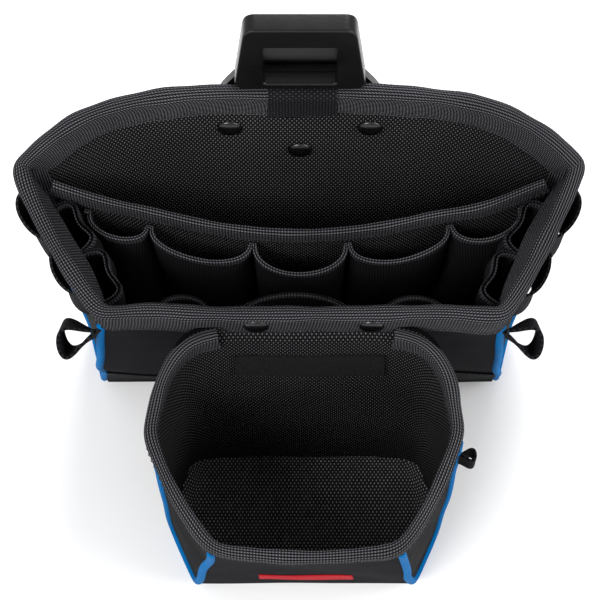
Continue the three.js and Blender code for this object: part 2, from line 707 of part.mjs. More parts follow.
const planCurve = (points) => new THREE.CatmullRomCurve3(points, false, "centripetal");
const wingPoints = (half, wingHalf) => [
  vec(wingHalf, -POUCH_WING_DEPTH, 0),
  vec(lerp(half, wingHalf, 0.75), -POUCH_WING_DEPTH * 0.42, 0),
  vec(half, -1.5, 0),
  vec(0, 0, 0),
  vec(-half, -1.5, 0),
  vec(-lerp(half, wingHalf, 0.75), -POUCH_WING_DEPTH * 0.42, 0),
  vec(-wingHalf, -POUCH_WING_DEPTH, 0),
];
const topPlan = planCurve(wingPoints(POUCH_TOP_HALF, POUCH_WING_HALF));
const footPlan = planCurve(wingPoints(POUCH_BACK_BASE_HALF, POUCH_WING_HALF - 2));
const pouchBackMiddle = POUCH_BACK + WALL_THICK / 2;

/** The pouch's back wall with its wings; u from the right wing to the left. */
function pouchBackSurface(u, v) {
  const top = topPlan.getPoint(u);
  const foot = footPlan.getPoint(u);
  const p = foot.lerp(top, v);
  const fall = smooth(-top.y / POUCH_WING_DEPTH);
  const topHeight = lerp(POUCH_HANG - GAP, POUCH_WING_HEIGHT, fall);
  const footHeight = BASE_THICK + GAP + 1;
  return vec(p.x, p.y - pouchBackMiddle, lerp(footHeight, topHeight, v));
}

/** The front corner seam of the pouch. */
function pouchFrontSeam(side, k) {
  return vec(
    side * lerp(POUCH_BASE_HALF, POUCH_FRONT_HALF, k),
    -POUCH_BACK - lerp(POUCH_BASE_DEPTH, POUCH_FRONT_DEPTH, k),
    lerp(BASE_THICK / 2 + POUCH_RADIUS, POUCH_FRONT_HEIGHT, k),
  );
}

/** The seam between a wing of the back wall and its gusset. */
function pouchRearSeam(side, k) {
  const edge = pouchBackSurface(side > 0 ? 0 : 1, k);
  return edge.add(vec(0, -PIPING_RADIUS - GAP - 0.3, 0));
}

/** The pouch's front wall with its rounded foot. */
function pouchFrontSurface(u, v) {
  const side = 2 * u - 1;
  if (v < FOOT_SHARE) {
    const angle = (Math.PI / 2) * (1 - v / FOOT_SHARE);
    return vec(
      side * (POUCH_BASE_HALF - SEAM),
      -POUCH_BACK - POUCH_BASE_DEPTH + POUCH_RADIUS * (1 - Math.cos(angle)),
      BASE_THICK / 2 + POUCH_RADIUS * (1 - Math.sin(angle)),
    );
  }
  const k = (v - FOOT_SHARE) / (1 - FOOT_SHARE);
  const seam = pouchFrontSeam(1, k);
  const bow = 3 * k * Math.cos((Math.PI / 2) * side);
  return vec(side * (seam.x - SEAM), seam.y - bow, seam.z);
}

/** A side gusset of the pouch. */
const pouchGussetSurface = (side) => (u, v) => {
  const along = side < 0 ? u : 1 - u;
  const floor = BASE_THICK / 2;
  const footLength = pouchRearSeam(side, 0).setZ(0).distanceTo(pouchFrontSeam(side, 0).setZ(0));
  const footInset = lerp(SEAM, footLength - SEAM, along);
  const foot = PIPING_FOOT - GAP
    + uFoot(footInset, footLength - footInset, POUCH_RADIUS, POUCH_RADIUS);
  const height = lerp(foot, lerp(POUCH_WING_HEIGHT, POUCH_FRONT_HEIGHT, along), v);
  const rear = pouchRearSeam(side, shareOfHeight(height, floor, POUCH_WING_HEIGHT));
  const front = pouchFrontSeam(side,
    shareOfHeight(height, floor + POUCH_RADIUS, POUCH_FRONT_HEIGHT));
  const across = front.sub(rear).setZ(0);
  const share = lerp(SEAM, across.length() - SEAM, along) / across.length();
  const out = across.clone().cross(vec(0, 0, -side)).normalize();
  const bow = POUCH_SIDE_BOW * Math.sin(Math.PI * share) * v;
  return rear.setZ(height).addScaledVector(across, share).addScaledVector(out, bow);
};
const pouchGussets = { left: pouchGussetSurface(-1), right: pouchGussetSurface(1) };

const POUCH_ROWS = 8;
const POUCH_BACK_COLUMNS = 20;
add(frontPouch, "pouch_back",
  panelGeometry(pouchBackSurface, WALL_THICK, POUCH_BACK_COLUMNS, POUCH_ROWS), basketWeave);
add(frontPouch, "pouch_front", panelGeometry(pouchFrontSurface, WALL_THICK, 10, POUCH_ROWS),
  basketWeave);
for (const [name, surface] of Object.entries(pouchGussets)) {
  add(frontPouch, `pouch_gusset_${name}`, panelGeometry(surface, GUSSET_THICK, 8, POUCH_ROWS),
    coatedFabric);
}

// The pouch's base: a plate inside the foot of its walls
const baseInset = WALL_THICK / 2 + GAP + 1;
const baseFront = POUCH_BASE_DEPTH - POUCH_RADIUS - GAP;
const baseOutline = roundedShape([
  [-(POUCH_BASE_HALF - SEAM), -baseFront, 1],
  [POUCH_BASE_HALF - SEAM, -baseFront, 1],
  [POUCH_WING_HALF - 8, -POUCH_WING_DEPTH, 8],
  [POUCH_BACK_BASE_HALF - 4, -baseInset, 8],
  [-(POUCH_BACK_BASE_HALF - 4), -baseInset, 8],
  [-(POUCH_WING_HALF - 8), -POUCH_WING_DEPTH, 8],
], 6);
const pouchBase = new THREE.ExtrudeGeometry(baseOutline, {
  depth: BASE_THICK, bevelEnabled: false, curveSegments: 5,
});
pouchBase.translate(0, -POUCH_BACK, 0);
add(frontPouch, "pouch_base", pouchBase, coatedFabric);

// Binding: wings of the back wall, gussets and front
const wing = 0.3; // share of the back wall's length that each wing's binding covers
const WING_COLUMNS = wing * POUCH_BACK_COLUMNS; // the binding's facets match the wall's
add(frontPouch, "pouch_binding_wing_right",
  bindingGeometry(part(pouchBackSurface, 0, wing, 0, 1), WALL_THICK, WING_COLUMNS, POUCH_ROWS), bindingTape);
add(frontPouch, "pouch_binding_wing_left",
  bindingGeometry(part(pouchBackSurface, 1 - wing, 1, 0, 1), WALL_THICK, WING_COLUMNS, POUCH_ROWS),
  bindingTape);
for (const [name, surface] of Object.entries(pouchGussets)) {
  const bound = part(surface, 0.05, 0.95, 0, 1);
  add(frontPouch, `pouch_binding_${name}`,
    bindingGeometry(bound, GUSSET_THICK, 8, POUCH_ROWS), bindingTape);
}
add(frontPouch, "pouch_binding_front", bindingGeometry(
  part(pouchFrontSurface, 0.03, 0.97, 0, 1), WALL_THICK, 10, POUCH_ROWS), bindingTape);

for (const [name, side] of [["left", -1], ["right", 1]]) {
  const path = pipingPath({
    side,
    frontLine: pouchFrontSeam,
    rearLine: pouchRearSeam,
    frontRadius: POUCH_RADIUS,
    rearRadius: POUCH_RADIUS,
    topShare: 0.9,
    rearTopShare: 0.88,
  });
  add(frontPouch, `pouch_piping_${name}`, cordGeometry(path, PIPING_RADIUS, 34), bluePiping);
}

// Hook-and-loop strip inside, plain label and side tab outside
const stripLift = WALL_THICK / 2 + GAP + 0.8;
add(frontPouch, "hook_loop_strip", panelGeometry(
  offset(part(pouchBackSurface, 0.375, 0.61, 0.655, 0.8), -stripLift), 1.6, 6, 1), hookLoop);
add(frontPouch, "front_label", panelGeometry(
  offset(part(pouchFrontSurface, 0.27, 0.73, 0.36, 0.42), WALL_THICK / 2 + GAP + 0.4), 0.8, 6, 1),
labelRed);

const SIDE_TAB = { width: 10, length: 9, height: 12, share: 0.83 };
const sideTab = new THREE.BoxGeometry(SIDE_TAB.length, SIDE_TAB.width, SIDE_TAB.height);
const tabAt = pouchRearSeam(1, SIDE_TAB.share);
sideTab.translate(
  tabAt.x + PIPING_RADIUS + GAP + 0.8 + SIDE_TAB.length / 2,
  tabAt.y - 1,
  tabAt.z - SIDE_TAB.height / 2,
);
add(frontPouch, "pouch_side_tab", sideTab, webbing);

// The riveted hem that the pouch hangs by: it stays with the main pouch
const hangerMiddle = POUCH_BACK + WALL_THICK / 2;
const hanger = new THREE.BoxGeometry(2 * POUCH_TOP_HALF, WALL_THICK, HANGER_HEIGHT);
hanger.translate(POUCH_SHIFT, -hangerMiddle, POUCH_HANG + 2 * GAP + HANGER_HEIGHT / 2);
add(mainPouch, "pouch_hanger", pierce(hanger, hangerHoles, RIVET_HOLE_RADIUS), basketWeave);

// ---------------------------------------------------------------- rivets

/** A set rivet along Y: a domed head whose foot lies at y = 0, a shank and a flat tail. */
function rivetGeometry(grip) {
  const profile = [new THREE.Vector2(0, -RIVET_HEAD_HEIGHT)];
  for (const angle of [20, 45, 70, 90]) {
    const turn = THREE.MathUtils.degToRad(angle);
    profile.push(new THREE.Vector2(
      RIVET_HEAD_RADIUS * Math.sin(turn),
      -RIVET_HEAD_HEIGHT * Math.cos(turn),
    ));
  }
  const tail = RIVET_HEAD_RADIUS - 0.7;
  profile.push(new THREE.Vector2(RIVET_SHANK_RADIUS, 0));
  profile.push(new THREE.Vector2(RIVET_SHANK_RADIUS, grip));
  profile.push(new THREE.Vector2(tail, grip));
  profile.push(new THREE.Vector2(tail - 0.4, grip + RIVET_TAIL_HEIGHT));
  profile.push(new THREE.Vector2(0, grip + RIVET_TAIL_HEIGHT));
  return new THREE.LatheGeometry(profile, 14);
}

PANEL_RIVETS.forEach(([x, z], i) => {
  const head = -BACK_THICK - GAP;
  const grip = PLATE_FRONT + PLATE_THICK - RIVET_SINK + GAP - head;
  const rivet = add(clickHolder, `panel_rivet_${i + 1}`, rivetGeometry(grip), darkMetal);
  rivet.position.set(x, head, z);
});

hangerHoles.forEach(([x, z], i) => {
  const head = -hangerMiddle - WALL_THICK / 2 - GAP;
  const bindingBack = -MOUTH_DEPTH - MOUTH_BOW * 0.8 + WALL_THICK / 2 + BINDING_SIDE + 3 * GAP;
  const rivet = add(mainPouch, `hanger_rivet_${i + 1}`, rivetGeometry(bindingBack - head),
    darkMetal);
  rivet.position.set(x, head, z);
});

// ---------------------------------------------------------------- click holder

const plateOutline = roundedShape([
  [-PLATE_HALF, PLATE_FOOT], [PLATE_HALF, PLATE_FOOT],
  [PLATE_HALF, PLATE_TOP - PLATE_CORNER, 12], [HANDLE_FOOT_HALF - 3, PLATE_TOP, 4],
  [-HANDLE_FOOT_HALF + 3, PLATE_TOP, 4], [-PLATE_HALF, PLATE_TOP - PLATE_CORNER, 12],
], 10);
const PLATE_BACK = PLATE_FRONT + PLATE_THICK;
const stepBack = new THREE.BoxGeometry(3 * PLATE_HALF, 10, 100);
stepBack.translate(0, PLATE_BACK - PLATE_STEP + 5, PLATE_STEP_HEIGHT + 50);
let plate = solid(plateGeometry(plateOutline, PLATE_FRONT, PLATE_THICK)).subtract(solid(stepBack));
for (const [x, z] of PANEL_RIVETS) {
  plate = plate.subtract(solid(
    cylinderY(x, z, RIVET_HEAD_RADIUS, PLATE_BACK - RIVET_SINK, PLATE_BACK + 1, 20)));
}
const earFront = PLATE_BACK - PLATE_STEP - 1;
const earDepth = LEVER_PIVOT_BACK + 4 - earFront;
const ears = [-1, 1].map((side) => {
  const ear = new THREE.BoxGeometry(4, earDepth, 12);
  ear.translate(
    side * (LEVER_HALF + GAP + 2),
    earFront + earDepth / 2,
    LEVER_PIVOT_HEIGHT,
  );
  return solid(ear);
});
const pinBore = solid(cylinderX(-40, 40, LEVER_PIVOT_BACK, LEVER_PIVOT_HEIGHT,
  PIN_RADIUS + PIN_CLEARANCE));
const earedPlate = plate.add(ears[0]).add(ears[1]).subtract(pinBore);
add(clickHolder, "click_plate",
  pierce(fromSolid(earedPlate), PANEL_RIVETS, RIVET_HOLE_RADIUS), mouldedBlack);

const handleOutline = roundedShape([
  [-HANDLE_FOOT_HALF, HANDLE_FOOT, 7], [HANDLE_FOOT_HALF, HANDLE_FOOT, 7],
  [HANDLE_TOP_HALF, HANDLE_TOP, 6], [-HANDLE_TOP_HALF, HANDLE_TOP, 6],
], 6);
handleOutline.holes.push(roundedShape([
  [-WINDOW_HALF, WINDOW_FOOT], [-WINDOW_HALF, WINDOW_TOP],
  [WINDOW_HALF, WINDOW_TOP], [WINDOW_HALF, WINDOW_FOOT],
], 2, THREE.Path));
const handle = solid(plateGeometry(handleOutline, -HANDLE_FRONT, HANDLE_DEPTH, 1.2));
const plateClear = solid(plateGeometry(roundedShape([
  [-60, HANDLE_FOOT - 20], [60, HANDLE_FOOT - 20], [60, PLATE_TOP + GAP], [-60, PLATE_TOP + GAP],
], 1), PLATE_FRONT - GAP, 40));
add(clickHolder, "handle_frame", fromSolid(handle.subtract(plateClear)), mouldedBlack);

// Release lever on its pin, with a torsion spring beside a narrow waist
const SPRING_SPAN = 7;
const leverFace = LEVER_PIVOT_BACK - LEVER_THICK / 2;
const leverOutline = roundedShape([
  [-LEVER_HALF, LEVER_FOOT], [LEVER_HALF, LEVER_FOOT],
  [LEVER_HALF, LEVER_TOP], [-LEVER_HALF, LEVER_TOP],
], 3);
let lever = solid(plateGeometry(leverOutline, leverFace, LEVER_THICK));
for (const side of [-1, 1]) {
  const [x0, x1] = side < 0 ? [-LEVER_HALF, -SPRING_SPAN] : [SPRING_SPAN, LEVER_HALF];
  lever = lever.add(solid(cylinderX(x0, x1, LEVER_PIVOT_BACK, LEVER_PIVOT_HEIGHT, 3.4)));
}
const padFront = HANDLE_DEPTH - HANDLE_FRONT + 1.2;
const padBack = LEVER_PIVOT_BACK + LEVER_THICK / 2 - 0.1;
const padFoot = PLATE_TOP + 2.5;
const padSection = new THREE.Shape([
  [padFront, padFoot], [padFront, padFoot + 2], [padBack - 3, LEVER_TOP - 2],
  [padBack - 2, LEVER_TOP - 0.1], [padBack, LEVER_TOP - 0.1], [padBack, padFoot],
].map(([y, z]) => new THREE.Vector2(y, z)));
const padLength = 2 * LEVER_HALF - 2;
const pad = new THREE.ExtrudeGeometry(padSection, { depth: padLength, bevelEnabled: false });
pad.applyMatrix4(new THREE.Matrix4().makeBasis(vec(0, 1, 0), vec(0, 0, 1), vec(1, 0, 0)));
pad.translate(-padLength / 2, 0, 0);
lever = lever.add(solid(pad));
const latchNose = new THREE.BoxGeometry(2 * LEVER_HALF - 8, 5, 5);
latchNose.translate(0, LEVER_PIVOT_BACK + LEVER_THICK / 2 + 2, LEVER_FOOT + 4);
const springWindow = new THREE.BoxGeometry(2 * SPRING_SPAN, 20, 14);
springWindow.translate(0, LEVER_PIVOT_BACK, LEVER_PIVOT_HEIGHT);
lever = lever.add(solid(latchNose)).subtract(solid(springWindow));
lever = lever.subtract(solid(cylinderX(-30, 30, LEVER_PIVOT_BACK, LEVER_PIVOT_HEIGHT,
  PIN_RADIUS + PIN_CLEARANCE)));
add(clickHolder, "release_lever", fromSolid(lever), mouldedBlack);

const pinHalf = LEVER_HALF + GAP + 4 + 1;
add(clickHolder, "lever_pin", cylinderX(-pinHalf, pinHalf, LEVER_PIVOT_BACK, LEVER_PIVOT_HEIGHT,
  PIN_RADIUS), darkMetal);

const SPRING_TURNS = 5;
const springPoints = [];
const SPRING_RADIUS = 3;
for (let i = 0; i <= SPRING_TURNS * 10; i += 1) {
  const angle = (2 * Math.PI * i) / 10;
  springPoints.push(vec(
    lerp(-SPRING_SPAN + 1.6, SPRING_SPAN - 1.6, i / (SPRING_TURNS * 10)),
    LEVER_PIVOT_BACK + SPRING_RADIUS * Math.cos(angle),
    LEVER_PIVOT_HEIGHT + SPRING_RADIUS * Math.sin(angle),
  ));
}
add(clickHolder, "lever_spring", cordGeometry(springPoints, 0.5, SPRING_TURNS * 9), springSteel);

// ---------------------------------------------------------------- place on its origin
// The origin is the middle of the bounding box at the height of the lowest face.

const bounds = new THREE.Box3().setFromObject(pouch, true);
pouch.position.set(0, -(bounds.min.y + bounds.max.y) / 2, -bounds.min.z);

export default pouch;
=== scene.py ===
"""Electrician tool pouch: a wide fabric pouch with a smaller one hung on its front."""
import json
import logging
import math
from collections.abc import Callable, Sequence
from dataclasses import dataclass
from enum import Enum

import bpy
import numpy as np
from mathutils import Euler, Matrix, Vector

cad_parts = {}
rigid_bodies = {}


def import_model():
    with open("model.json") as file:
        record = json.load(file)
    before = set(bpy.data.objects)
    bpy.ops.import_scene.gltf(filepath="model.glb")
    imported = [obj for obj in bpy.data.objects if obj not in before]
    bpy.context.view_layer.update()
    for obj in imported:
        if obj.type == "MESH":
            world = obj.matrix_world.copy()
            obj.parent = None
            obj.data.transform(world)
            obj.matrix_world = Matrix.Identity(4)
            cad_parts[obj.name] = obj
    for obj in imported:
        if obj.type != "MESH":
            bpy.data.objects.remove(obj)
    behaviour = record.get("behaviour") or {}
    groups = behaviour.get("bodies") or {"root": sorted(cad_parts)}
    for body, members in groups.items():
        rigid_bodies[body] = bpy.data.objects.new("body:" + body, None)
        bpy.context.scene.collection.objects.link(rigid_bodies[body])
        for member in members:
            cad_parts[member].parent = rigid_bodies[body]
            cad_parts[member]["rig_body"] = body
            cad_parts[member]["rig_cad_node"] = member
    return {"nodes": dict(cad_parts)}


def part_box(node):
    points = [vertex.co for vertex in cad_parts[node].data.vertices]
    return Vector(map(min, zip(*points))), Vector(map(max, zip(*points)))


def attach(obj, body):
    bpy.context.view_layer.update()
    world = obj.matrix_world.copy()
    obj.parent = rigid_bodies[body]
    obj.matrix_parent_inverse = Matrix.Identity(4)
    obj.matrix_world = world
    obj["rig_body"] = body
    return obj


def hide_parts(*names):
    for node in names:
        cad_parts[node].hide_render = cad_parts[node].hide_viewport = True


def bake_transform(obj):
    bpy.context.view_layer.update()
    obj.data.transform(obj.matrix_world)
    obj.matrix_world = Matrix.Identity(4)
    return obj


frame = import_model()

log = logging.getLogger("tool_pouch")

Array = np.ndarray
Surface = Callable[[Array, Array], Array]
Loop = tuple[float, float, float]  # where it starts and ends on its wall, and its rise

MM = 0.001
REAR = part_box("back_outer_skin")[1].y / MM  # the back panel's rear face, in millimetres
SIDES = ((-1, "left"), (1, "right"))
LEVEL = np.array([1.0, 1.0, 0.0])  # keeps a vector's level part
SHARP_ANGLE = math.radians(50)  # edges sharper than this stay sharp
TUBE_SIDES = 14
STITCH_PITCH = 3.4
STITCH_RADIUS = 0.24
STITCH_STEPS = 6  # points along one stitch
EDGE_STEPS = 90  # points along one wall's edge
CORNER_TURNS = (0.25, 0.5, 0.75, 1.0)  # shares of the quarter turn round a gusset's foot
LOOP_MARGIN = 0.012  # share of a wall that a looped tape is sewn down over at each end


# ---------------------------------------------------------------- small maths


def lerp(a: Array, b: Array, t: Array) -> Array:
    """The value a share t of the way from a to b."""
    return a + (b - a) * t


def smooth(t: Array) -> Array:
    """A soft step from 0 to 1."""
    t = np.clip(t, 0.0, 1.0)
    return t * t * (3.0 - 2.0 * t)


def share_of(value: Array, low: float, high: float) -> Array:
    """How far a value is from low to high, from 0 to 1."""
    return np.clip((value - low) / (high - low), 0, 1)


def unit(a: Array) -> Array:
    """The vectors of an array at length one."""
    return a / np.maximum(np.linalg.norm(a, axis=-1, keepdims=True), 1e-9)


def points(x: Array, y: Array, z: Array) -> Array:
    """Three arrays of one shape as an array of points."""
    return np.stack(np.broadcast_arrays(x, y, z), axis=-1).astype(float)


def normals(surface: Surface, u: Array, v: Array) -> Array:
    """The outward unit normals of a surface.

    Args:
        surface: the surface.
        u: shares round the pouch.
        v: shares up the wall.

    Returns:
        One normal for each u and v.
    """
    step = 2e-3
    u0, u1 = np.clip(u - step, 0, 1), np.clip(u + step, 0, 1)
    v0, v1 = np.clip(v - step, 0, 1), np.clip(v + step, 0, 1)
    return unit(np.cross(surface(u1, v) - surface(u0, v), surface(u, v1) - surface(u, v0)))


def offset(surface: Surface, distance: float) -> Surface:
    """The surface moved along its own normal."""
    return lambda u, v: surface(u, v) + normals(surface, u, v) * distance


def part(surface: Surface, u0: float, u1: float, v0: float, v1: float) -> Surface:
    """The stretch of a surface between two values of u and two of v."""
    return lambda u, v: surface(lerp(u0, u1, u), lerp(v0, v1, v))


def spline(knots: Sequence[Sequence[float]]) -> Callable[[Array], Array]:
    """A smooth curve through points, from 0 at the first to 1 at the last."""
    p = np.array(knots, float)
    p = np.concatenate([[2 * p[0] - p[1]], p, [2 * p[-1] - p[-2]]])
    spans = len(p) - 3

    def at(t: Array) -> Array:
        """The curve's points at the shares t."""
        s = np.clip(np.asarray(t, float), 0, 1) * spans
        i = np.minimum(s.astype(int), spans - 1)
        f = (s - i)[..., None]
        a, b, c, d = p[i], p[i + 1], p[i + 2], p[i + 3]
        return 0.5 * (2 * b + (c - a) * f + (2 * a - 5 * b + 4 * c - d) * f**2
                      + (3 * b - a - 3 * c + d) * f**3)

    return at


def lengths(path: Array) -> Array:
    """The distance along a path of points to each of them."""
    return np.concatenate([[0.0], np.cumsum(np.linalg.norm(np.diff(path, axis=0), axis=1))])


def even(path: Array, pitch: float, *others: Array) -> list[Array]:
    """A path, and arrays that go with it, at an even pitch along it."""
    s = lengths(path)
    count = max(3, round(s[-1] / pitch))
    t = np.linspace(0, s[-1], count + 1)
    return [np.stack([np.interp(t, s, a[:, k]) for k in range(a.shape[1])], axis=1)
            for a in (path, *others)]


def soften(a: Array, spread: int, closed: bool = False) -> Array:
    """An array of rows averaged with its neighbours, to round the corners of a path."""
    kernel = np.exp(-0.5 * (np.arange(-2 * spread, 2 * spread + 1) / spread) ** 2)
    kernel /= kernel.sum()
    edge = 2 * spread
    padded = (np.concatenate([a[-edge - 1:-1], a, a[1:edge + 1]]) if closed
              else np.concatenate([2 * a[:1] - a[edge:0:-1], a, 2 * a[-1:] - a[-2:-edge - 2:-1]]))
    return np.stack([np.convolve(padded[:, k], kernel, "valid") for k in range(a.shape[1])], 1)


def settle(p: Array, amount: float = 1.0) -> Array:
    """Cloth's soft unevenness: every sewn piece moves by the same slow waves.

    Args:
        p: points in millimetres.
        amount: how strongly they move.

    Returns:
        The moved points.
    """
    x, y, z = p[..., 0], p[..., 1], p[..., 2]
    calm = smooth((np.hypot(x, (z - 200) * 0.8) - 40) / 60) * smooth(-y / 30) + 0.15
    rise = np.clip(z / 60, 0, 1)
    wave_x = np.sin(z / 21 + 1.3 + y / 37) + 0.6 * np.sin(z / 12.7 + x / 31 + 0.4)
    wave_y = np.sin(x / 19 + 0.7 + z / 43) + 0.7 * np.sin(x / 10.3 + z / 17 + 2.1)
    wave_z = np.sin(x / 23 + 2.2) * np.cos(y / 27) + 0.5 * np.sin(x / 11.9 + y / 13)
    size = amount * np.minimum(calm, 1.0) * rise
    return p + points(0.8 * wave_x * size, 0.9 * wave_y * size, 0.8 * wave_z * size)


# ---------------------------------------------------------------- modelling


def deselect() -> None:
    """Leaves nothing selected and no edit mode."""
    if bpy.context.object is not None and bpy.context.object.mode != "OBJECT":
        bpy.ops.object.mode_set(mode="OBJECT")
    bpy.ops.object.select_all(action="DESELECT")


def activate(piece: bpy.types.Object) -> None:
    """Selects one object and makes it the active one."""
    deselect()
    piece.select_set(True)
    bpy.context.view_layer.objects.active = piece


def modify(piece: bpy.types.Object, kind: str, **settings: object) -> None:
    """Adds a modifier and applies it."""
    activate(piece)
    modifier = piece.modifiers.new(kind.title(), kind)
    for key, value in settings.items():
        setattr(modifier, key, value)
    bpy.ops.object.modifier_apply(modifier=modifier.name)


def close_up(piece: bpy.types.Object) -> None:
    """Merges the doubles of a rolled grid, fills its ends and turns its faces out."""
    activate(piece)
    bpy.ops.object.mode_set(mode="EDIT")
    bpy.ops.mesh.select_all(action="SELECT")
    bpy.ops.mesh.remove_doubles(threshold=2e-6)
    bpy.ops.mesh.select_all(action="SELECT")
    bpy.ops.mesh.fill_holes(sides=0)
    bpy.ops.mesh.select_all(action="SELECT")
    bpy.ops.mesh.normals_make_consistent(inside=False)
    bpy.ops.object.mode_set(mode="OBJECT")


def lay(name: str, rows: Array, thickness: float = 0.0,
        closed: bool = False) -> bpy.types.Object:
    """A grid laid over rows of points, with a UV map in millimetres.

    Args:
        name: the piece's name.
        rows: the points in millimetres, an array of rows, columns and 3.
        thickness: the wall's thickness in millimetres, or 0 to leave a bare grid.
        closed: whether the rows roll up into a tube.

    Returns:
        The piece.
    """
    deselect()
    across, along = rows.shape[0] - 1, rows.shape[1] - 1
    bpy.ops.mesh.primitive_grid_add(x_subdivisions=along, y_subdivisions=across, size=2)
    piece = bpy.context.object
    piece.name = name
    mesh = piece.data
    flat = np.empty(len(mesh.vertices) * 3)
    mesh.vertices.foreach_get("co", flat)
    place = flat.reshape(-1, 3)
    i = np.rint((place[:, 0] + 1) / 2 * along).astype(int)
    j = np.rint((place[:, 1] + 1) / 2 * across).astype(int)
    step_u = np.linalg.norm(np.diff(rows, axis=1), axis=2)
    run_u = np.concatenate([np.zeros((across + 1, 1)), np.cumsum(step_u, axis=1)], axis=1)
    run_u -= run_u[:, along // 2][:, None]
    step_v = np.linalg.norm(np.diff(rows, axis=0), axis=2)
    run_v = np.concatenate([np.zeros((1, along + 1)), np.cumsum(step_v, axis=0)], axis=0)
    run_v = np.repeat(run_v.mean(axis=1)[:, None], along + 1, axis=1)
    if closed:
        run_u = np.repeat(run_u.mean(axis=0)[None, :], across + 1, axis=0)
    world = (rows[j, i] + np.array([0, REAR, 0])) * MM
    mesh.vertices.foreach_set("co", world.ravel())
    corner = np.empty(len(mesh.loops), int)
    mesh.loops.foreach_get("vertex_index", corner)
    uv = np.stack([run_u[j, i][corner], run_v[j, i][corner]], axis=1)
    mesh.uv_layers[0].data.foreach_set("uv", uv.ravel())
    mesh.update()
    if closed:
        close_up(piece)
    if thickness:
        modify(piece, "SOLIDIFY", thickness=thickness * MM, offset=0.0)
    activate(piece)
    bpy.ops.object.shade_smooth_by_angle(angle=SHARP_ANGLE)
    return piece


def panel(name: str, surface: Surface, columns: int, rows: int, thickness: float,
          uneven: float = 1.0) -> bpy.types.Object:
    """A cut panel of fabric over a surface, thick on both sides of it."""
    u, v = np.meshgrid(np.linspace(0, 1, columns + 1), np.linspace(0, 1, rows + 1))
    return lay(name, settle(surface(u, v), uneven), thickness)


def carry(path: Array, across: Array, up: Array, section: Array) -> Array:
    """A section carried along a path.

    Args:
        path: the points of the path.
        across: for each of them, the section's x direction.
        up: for each of them, the section's y direction.
        section: the section's points, the same all along or one set for each path point.

    Returns:
        Rows of points, one row for each point of the section.
    """
    section = np.broadcast_to(section, (len(path), *section.shape[-2:]))
    return (path[:, None] + across[:, None] * section[..., :1]
            + up[:, None] * section[..., 1:]).transpose(1, 0, 2)


def tangents(path: Array) -> Array:
    """The unit directions along a path."""
    return unit(np.gradient(path, axis=0))


def circle(radius: float, sides: int) -> Array:
    """A round section, its last point on its first."""
    turn = np.linspace(0, 2 * math.pi, sides + 1)
    return np.stack([np.cos(turn), np.sin(turn)], axis=1) * radius


def tube(name: str, path: Array, radius: float) -> bpy.types.Object:
    """A round cord along a path, closed at both ends."""
    path = settle(path)
    along = tangents(path)
    across = np.empty_like(path)
    side = unit(np.cross(along[0], [0.31, 0.17, 0.94]))
    for k, t in enumerate(along):
        side = unit(side - t * np.dot(side, t))
        across[k] = side
    taper = np.ones(len(path))
    taper[0] = taper[-1] = 0.55
    section = circle(radius, TUBE_SIDES)[None] * taper[:, None, None]
    return lay(name, carry(path, across, unit(np.cross(along, across)), section), closed=True)


def thread(name: str, path: Array, out: Array) -> bpy.types.Object:
    """A row of stitches: one thread that dips into the fabric between them.

    Args:
        name: the piece's name.
        path: the seam line, on the fabric's face.
        out: the face's outward directions along it.

    Returns:
        The piece.
    """
    path, out = even(path, STITCH_PITCH / STITCH_STEPS, out)
    up = unit(out)
    phase = np.arange(len(path)) / STITCH_STEPS * 2 * math.pi
    line = path + up * (STITCH_RADIUS * (1.6 * np.cos(phase) + 0.1))[:, None]
    across = unit(np.cross(tangents(path), up))
    return lay(name, carry(line, across, up, circle(STITCH_RADIUS, 5)), closed=True)


# ---------------------------------------------------------------- finishes


class Pattern(Enum):
    """How a finish is structured."""

    BASKET = "coarse basket weave"
    TWILL = "fine diagonal weave"
    GROSGRAIN = "ribbed tape"
    RIBBED = "ribbed elastic"
    WEBBING = "woven strap"
    COATED = "smooth coated cloth"
    PILE = "hook-and-loop pile"
    CORD = "smooth sheathed cord"
    MOULDED = "moulded grain"
    METAL = "lacquered or bare metal"


